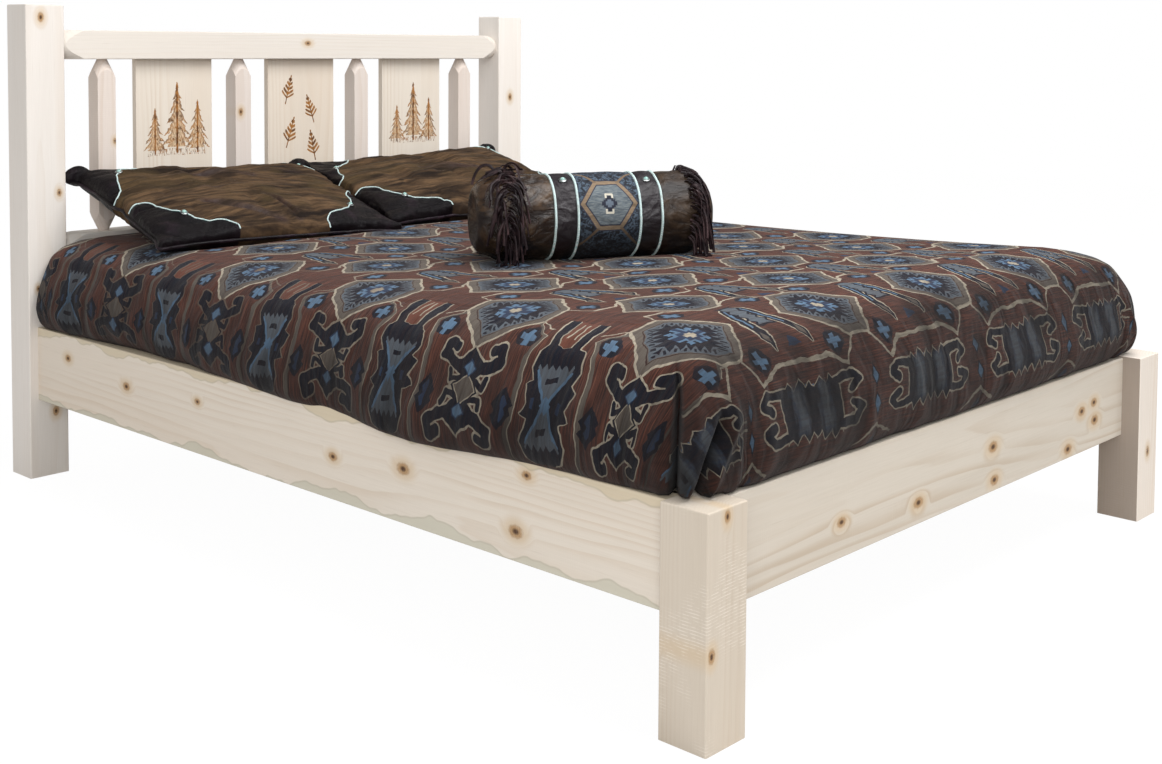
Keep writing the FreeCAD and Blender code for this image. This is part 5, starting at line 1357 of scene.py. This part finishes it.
for key, place in pillowPlaces.items():
    body = key + "_body"
    cushion = makePillow(key + "_cover", pillow, place)
    weld(cushion, 1e-5)
    inflate(cushion, pillow)
    putPoints(cushion, crumple(pointsOf(cushion), place))
    layUv(cushion, [tuple(v.co)[:2] for v in cushion.data.vertices], "plan")
    surface = surfaceOf(cushion)
    seamLine = [surface.find_nearest(Vector((x * 1.02, y * 1.02, 0)))[0] for x, y in rimPlan(place)]
    welt = tubes(key + "_welt", [seamLine], pillow["welt"], closed=True)
    paths, buttons = pillowLaces(pillow, place, surface)
    laces = tubes(key + "_lacing", paths, pillow["lace"])
    studs = makeConchos(key + "_conchos", buttons, concho)
    cushion.data.materials.append(hideMaterial(key + "Hide", pillow, place))
    welt.data.materials.append(leatherDark)
    laces.data.materials.append(lacing)
    parts = [(cushion, "brown_suede"), (welt, "brown_leather"), (laces, "brown_leather"), (studs, "zinc_steel")]
    for piece, slot in parts:
        putPoints(piece, settle(pointsOf(piece), place))
        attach(piece, body)
    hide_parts(key)
    pressed = [surfaceOf(piece) for piece in (cushion, welt)]
    print(key, "sinks", [round(pressDown(part) * 1000, 1) for part in pressed], "mm into the quilt")

print("pillows made")

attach(quilt, "bedding")
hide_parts("comforter")


# bolster: a stuffed roll with dished ends, laced bands and a fringe at each end

bolster = dict(at=(-0.112, -0.1959, 0.7131), yaw=-30, long=0.546, radius=0.100, barrel=0.003, taper=0.012,
               run=0.072, soft=0.028, dish=0.007, flat=0.095, around=112, centre=0.016, near=0.073, far=0.125,
               voxel=0.0045, pressure=2.0, grow=0.03, stiff=0.4, cap=0.005, frames=14, lace=0.0029, root=0.216)
strands = dict(seed=77, count=200, steps=16, length=0.092, lowest=-0.55, fall=0.30, clear=0.002, endGap=0.0015,
               rootGap=0.0012, width=0.0034, thick=0.0009, twist=5.0)
rollTones = colours(cloud=(30, 20, 18), farEnd=(16, 10, 7), band=(18, 11, 16), bandWorn=(42, 33, 40),
                    field=(74, 84, 94), fieldPale=(118, 126, 128), corner=(24, 29, 42), sprig=(72, 88, 104),
                    sprigDeep=(8, 10, 16),
                    lattice=(92, 70, 52), latticePale=(158, 138, 112), inner=(44, 46, 62), ray=(112, 92, 72),
                    gem=(34, 38, 54), heart=(92, 104, 118), hook=(206, 200, 184), under=(6, 4, 4))


def makeBolster(s):
    half = s["long"] / 2
    body = s["radius"] - s["barrel"]
    end = body - s["taper"]
    outline = [(-half + s["dish"], 0.0), (-half + s["dish"], end * 0.2), (-half + 0.004, end * 0.45),
               (-half, end - s["soft"])]
    for k in range(1, 7):
        t = math.pi / 2 * k / 7
        outline.append((-half + s["soft"] * (1 - math.cos(t)), end - s["soft"] + s["soft"] * math.sin(t)))
    outline += [(-half + s["soft"], end), (-half + 0.05, end + 0.009)]
    ends = len(outline)
    for k in range(41):
        x = -half + s["run"] + (s["long"] - 2 * s["run"]) * k / 40
        outline.append((x, body + s["barrel"] * (1 - (x / (half - s["run"])) ** 2)))
    outline += [(-x, z) for x, z in reversed(outline[:ends])]
    wrinkle, fold = Noise3(51), Noise3(52)
    verts = []
    for x, radius in outline:
        share = min(1, radius / end) ** 2
        # the lacing draws the leather in, and it bags between the bands
        off = x - s["centre"]
        pull = sum(math.exp(-((off - p) / 0.010) ** 2) for p in (-s["far"], -s["near"], s["near"], s["far"]))
        for t in around(s["around"]):
            c, d = math.cos(t), math.sin(t)
            at = np.array([x, 0.1 * c, 0.1 * d])
            rough = float(wrinkle(at * (1, 0.6, 0.6), 0.035)) * 0.0030
            rough += float(fold(at * (0.5, 1.2, 1.2), 0.03)) * 0.0026
            if abs(off) < s["near"]:
                rough *= 0.5
            # gathers run in from the fringe
            gather = math.sin(t * 21 + 1.3 * math.sin(t * 5)) * 0.0030 * math.exp(-((abs(x) - s["root"]) / 0.032) ** 2)
            full = radius + share * (rough + gather - 0.0028 * pull - 0.002)
            verts.append((x, full * c, max(full * d, -s["flat"])))
    return makeObject("bolster_cover", verts, ringFaces(len(outline), s["around"]))


def bolsterMaterial(s, tone):
    p = Paint("bolsterHide", Specular_IOR_Level=0.5)
    place = p.place()
    turn = math.radians(s["yaw"])
    away = p.vector("SUBTRACT", place, s["at"])
    off = p.vector("DOT_PRODUCT", away, (math.cos(turn), math.sin(turn), 0.0)) - s["centre"]
    side = p.vector("DOT_PRODUCT", away, (-math.sin(turn), math.cos(turn), 0.0))
    up = p.axes(away)[2]
    # measured round the roll from the line that faces the foot of the bed
    arc = up.do("ARCTAN2", 0.0 - side) * s["radius"] - 0.036
    cloud = p.noise(place, 11, 3, 0.6, 0.8)
    crease = p.noise(place, 1.0, 3, 0.55, 0.9, stretch=(13.0, 13.0, 21.0))
    grain = grainOf(p, place, 560)
    band = abs(abs(off) - (s["near"] + s["far"]) / 2).below((s["far"] - s["near"]) / 2)
    colour = p.coats(p.mix(crease.step(0.38, 0.66), hide["brown"], hide["brownWorn"]),
                     (cloud.step(0.4, 0.65, 0.0, 0.5), tone["cloud"]),
                     (off.above(s["far"]) * 0.3, tone["farEnd"]),
                     (band, p.mix(cloud, tone["band"], tone["bandWorn"])))
    # woven middle: blue-grey field, tan lattice, a dark lozenge with pale hooks, navy corners
    middle = abs(off).below(s["near"])
    x, y = abs(off), abs(arc)
    hexa = (x * 16.13 + y * 10.56).most(y * 18.2)
    corner = hexa.above(1.0)
    cloth = p.noise(p.join(off, arc), 1.0, 3, 0.6, stretch=(60.0, 300.0, 1.0))
    sprig = p.noise(p.join(off, arc), 95.0, 2, 0.6, 1.5)
    ray = abs(abs(off) - 0.026 - (y - 0.055) * 0.95)
    gem = (x / 0.0045).do("FLOOR") + (y / 0.0045).do("FLOOR")
    hook = (abs(y - 0.0215).below(0.0024) * x.below(0.009)).most(
        abs(x - 0.0078).below(0.0022) * abs(y - 0.0175).below(0.005))
    field = p.coats(p.mix(cloth.step(0.3, 0.7), tone["field"], tone["fieldPale"]),
                    (corner, tone["corner"]),
                    (corner * sprig.step(0.5, 0.56), tone["sprig"]),
                    (corner * sprig.step(0.36, 0.42, 1.0, 0.0), tone["sprigDeep"]),
                    (abs(hexa - 1.0).below(0.085), p.mix(cloth, tone["lattice"], tone["latticePale"])),
                    (abs(abs(hexa - 1.0) - 0.11).below(0.025), tone["inner"]),
                    (ray.below(0.0042) * y.above(0.055), tone["ray"]),
                    (gem.below(3.5), tone["gem"]),
                    (gem.below(1.5), tone["heart"]),
                    (hook, tone["hook"]))
    # painted shade: the underside is darkened toward near black
    colour = p.coats(colour, (middle, field), (up.step(-0.085, 0.04, 0.72, 0.0), tone["under"]))
    leather = 0.11 + grain * 0.10 + crease * 0.12 + (band * 0.18).most(off.above(s["far"]) * 0.22)
    rib = (off * 3200).do("SINE") * (arc * 3200).do("SINE") * 0.2 + cloth * 0.6
    fold = p.bump(crease + p.noise(place, 9, 2, 0.5, 1.0) * 1.6, 0.75, 0.012)
    return p.finish(colour, leather * (1.0 - middle) + middle * (cloth * 0.2 + 0.68),
                    p.bump(grain * 0.5 * (1.0 - middle) + rib * middle, 0.5, 0.0010, fold))


def unit(vector):
    return vector / np.linalg.norm(vector)


def strandPath(t, sign, s, f, rng, quiltTop):
    # a strip leaves its row of stitches along the roll and falls by its own weight, clear of the roll and the quilt
    half = s["long"] / 2
    across = np.array([0.0, math.cos(t), math.sin(t)])
    lift = rng.uniform(0.001, 0.013)
    root = s["root"] + rng.uniform(-0.010, 0.012)
    p = across * (s["radius"] + f["rootGap"]) + (sign * root, 0, 0)
    spring = rng.uniform(0.0, 0.45)
    # at the left end many strips have flopped back over the roll
    out = rng.uniform(-1.0, 0.8) if sign < 0 else rng.uniform(0.2, 1.3)
    d = across * spring + (sign * out, 0, 0)
    short = 1 + 0.6 * min(0, math.sin(t))
    step = f["length"] * rng.uniform(0.85, 1.08) * short / f["steps"]
    line = [p.copy()]
    sway = rng.uniform(-1, 1, 3) * (0.07, 0.07, 0.03)
    endFace = half + f["endGap"]
    for _ in range(f["steps"]):
        d = unit(unit(d) + (0, 0, -f["fall"]) + sway)
        p = p + d * step
        r = math.hypot(p[1], p[2])
        body = lift + np.interp(abs(p[0]), [s["root"], half - 0.02, half], s["radius"] - np.array([0, 0.014, 0.03]))
        if abs(p[0]) < endFace and r < body:
            if endFace - abs(p[0]) < body - r:
                p[0] = math.copysign(endFace, p[0])
            else:
                p[1:] *= body / r
        x, y, z = turned(p[None], s)[0]
        hit = quiltTop.ray_cast(Vector((x, y, 1.0)), Vector((0, 0, -1)))[0]
        if hit is not None and z < hit.z + f["clear"]:
            p[2] += hit.z + f["clear"] - z
            d = np.array([d[0] + 0.3 * sign, d[1] + 0.3 * math.copysign(1, p[1]), 0.0])
        line.append(p.copy())
    return line


def fringeNodes(material, s):
    # centre lines in, leather strips out
    group = bpy.data.node_groups.new("fringe", "GeometryNodeTree")
    face = group.interface
    face.new_socket("Geometry", in_out="INPUT", socket_type="NodeSocketGeometry")
    for name, kind, value in (("Strip width", "Float", s["width"]), ("Strip thickness", "Float", s["thick"]),
                              ("Seed", "Int", 5)):
        face.new_socket(name, in_out="INPUT", socket_type="NodeSocket" + kind).default_value = value
    face.new_socket("Geometry", in_out="OUTPUT", socket_type="NodeSocketGeometry")

    def add(kind, values, out=0, **settings):
        # settings first, then values or links, by the name or number of the socket
        node = group.nodes.new(kind)
        for key, value in settings.items():
            setattr(node, key, value)
        for key, value in values.items():
            if isinstance(value, bpy.types.NodeSocket):
                group.links.new(value, node.inputs[key])
            else:
                node.inputs[key].default_value = value
        return node.outputs[out] if len(node.outputs) else None

    given = group.nodes.new("NodeGroupInput").outputs
    # one draw for each strip gives its width and its twist
    island = add("GeometryNodeInputMeshIsland", {}, "Island Index")
    chance = add("FunctionNodeRandomValue", {2: 0.75, 3: 1.3, "ID": island, "Seed": given["Seed"]}, 1)
    stored = add("GeometryNodeStoreNamedAttribute", {"Geometry": given["Geometry"], "Name": "strand", "Value": chance},
                 "Geometry", data_type="FLOAT", domain="POINT")
    strand = add("GeometryNodeInputNamedAttribute", {"Name": "strand"}, "Attribute", data_type="FLOAT")
    curve = add("GeometryNodeMeshToCurve", {"Mesh": stored}, "Curve")
    curve = add("GeometryNodeSetCurveRadius", {"Curve": curve, "Radius": strand}, "Curve")
    turn = add("ShaderNodeMath", {0: strand, 1: s["twist"]}, operation="MULTIPLY")
    curve = add("GeometryNodeSetCurveTilt", {"Curve": curve, "Tilt": turn}, "Curve")
    size = add("ShaderNodeCombineXYZ", {"X": given["Strip width"], "Y": given["Strip thickness"], "Z": 1.0})
    circle = add("GeometryNodeCurvePrimitiveCircle", {"Resolution": 6, "Radius": 1.0}, "Curve")
    profile = add("GeometryNodeTransform", {"Geometry": circle, "Scale": size}, "Geometry")
    made = add("GeometryNodeCurveToMesh", {"Curve": curve, "Profile Curve": profile, "Scale": strand,
                                           "Fill Caps": True}, "Mesh")
    made = add("GeometryNodeSetShadeSmooth", {"Geometry": made}, "Geometry")
    made = add("GeometryNodeRealizeInstances", {"Geometry": made}, "Geometry")
    made = add("GeometryNodeSetMaterial", {"Geometry": made, "Material": material}, "Geometry")
    add("NodeGroupOutput", {"Geometry": made})
    return group


def makeFringe(s, f):
    rng = np.random.default_rng(f["seed"])
    quiltTop = surfaceOf(quilt)
    lines = []
    for sign in (-1, 1):
        for k in range(f["count"]):
            t = 2 * math.pi * (k + rng.uniform(-0.3, 0.3)) / f["count"]
            if math.sin(t) >= f["lowest"]:
                lines.append(strandPath(t, sign, s, f, rng, quiltTop))
    mesh = bpy.data.meshes.new("bolster_fringe")
    long = f["steps"] + 1
    edges = [(n * long + k, n * long + k + 1) for n in range(len(lines)) for k in range(long - 1)]
    mesh.from_pydata([tuple(p) for line in lines for p in line], edges, [])
    obj = addObject("bolster_fringe", mesh)
    mod = obj.modifiers.new("Fringe", "NODES")
    mod.node_group = fringeNodes(darkLeather("fringeLeather", "strip", "stripWorn"), f)
    return bakeModifiers(obj)


def bolsterRings(s, surface):
    def touch(off, t):
        # the point and normal of the roll in one direction from its axis
        away = Vector((0, math.cos(t), math.sin(t)))
        return surface.ray_cast(Vector((off + s["centre"], 0, 0)) + away * 0.3, -away)[:2]

    rings = [[at + normal * 0.0012 for at, normal in (touch(off, t) for t in around(72))]
             for off in (-s["far"], -s["near"], s["near"], s["far"])]
    buttons = [touch(off + 0.026, math.radians(degrees)) for off in (-s["far"], s["near"]) for degrees in (229, 122, 27)
               if math.sin(math.radians(degrees)) > -0.5]
    return rings, buttons


roll = makeBolster(bolster)
weld(roll, 1e-5)
inflate(roll, bolster)
rings, buttons = bolsterRings(bolster, surfaceOf(roll))
bands = tubes("bolster_lacing", rings, bolster["lace"], closed=True)
bands.data.materials.append(lacing)
studs = makeConchos("bolster_conchos", buttons, concho)
fringe = makeFringe(bolster, strands)
roll.data.materials.append(bolsterMaterial(bolster, rollTones))
parts = [(roll, "brown_leather"), (bands, "brown_leather"), (fringe, "brown_leather"), (studs, "zinc_steel")]
for piece, slot in parts:
    putPoints(piece, turned(pointsOf(piece), bolster))
    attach(piece, "bolster_body")
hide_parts("bolster")
print("bolster sinks", round(pressDown(surfaceOf(roll)) * 1000, 1), "mm into the quilt")
print("bolster made")


# floor and soft studio light

stage = dict(floor=(222, 221, 219), floorPale=(228, 227, 226), half=9, sky=0.58, gloss=0.2, veil=0.93, glow=1.04)


def makeStage(s):
    half = s["half"]
    corners = [(-half, -half, 0), (half, -half, 0), (half, half, 0), (-half, half, 0)]
    floor = makeObject("floor", corners, [(0, 1, 2, 3)])
    p = Paint("paleFloor", Specular_IOR_Level=0.1, Roughness=0.9)
    p.set("Base Color", p.mix(p.noise(p.place(), 1.2, 2, 0.5), linear(*s["floor"]), linear(*s["floorPale"])))
    # seen by the camera the floor is nearly as bright as the backdrop, with only a faint shadow
    glow = p.node("Emission", None, dict(Strength=s["glow"]))
    seen = p.node("LightPath", out="Is Camera Ray")
    plain = Wire(p.tree, p.shader.outputs[0])
    blend = p.node("MixShader", None, {0: seen * s["veil"], 1: plain, 2: glow})
    feed(p.tree, next(n for n in p.tree.nodes if n.type == "OUTPUT_MATERIAL").inputs[0], blend)
    floor.data.materials.append(p.mat)
    world = bpy.data.worlds.new("studio")
    bpy.context.scene.world = world
    world.use_nodes = True
    tree = world.node_tree
    sky = tree.nodes["Background"]
    sky.inputs["Color"].default_value = (1, 1, 1, 1)
    seen, shiny = (addNode(tree, "LightPath", out=name) for name in ("Is Camera Ray", "Is Glossy Ray"))
    feed(tree, sky.inputs["Strength"], seen * (1.0 - s["sky"]) + shiny * (s["gloss"] - s["sky"]) + s["sky"])


def softbox(name, at, toward, size, power):
    data = bpy.data.lights.new(name, "AREA")
    data.shape, data.size, data.size_y = "RECTANGLE", size[0], size[1]
    data.energy = power
    lamp = addObject(name, data)
    lamp.location = at
    lamp.rotation_mode = "QUATERNION"
    lamp.rotation_quaternion = (Vector(toward) - Vector(at)).to_track_quat("-Z", "Y")


makeStage(stage)
softbox("overBed", (0.3, -1.5, 3.7), (0.1, 0.5, 0.6), (2.4, 2.4), 130)
softbox("frontLeft", (-4.2, -3.8, 2.3), (0, 0, 0.5), (2.6, 2.0), 88)
bpy.context.scene.view_settings.view_transform = "Standard"
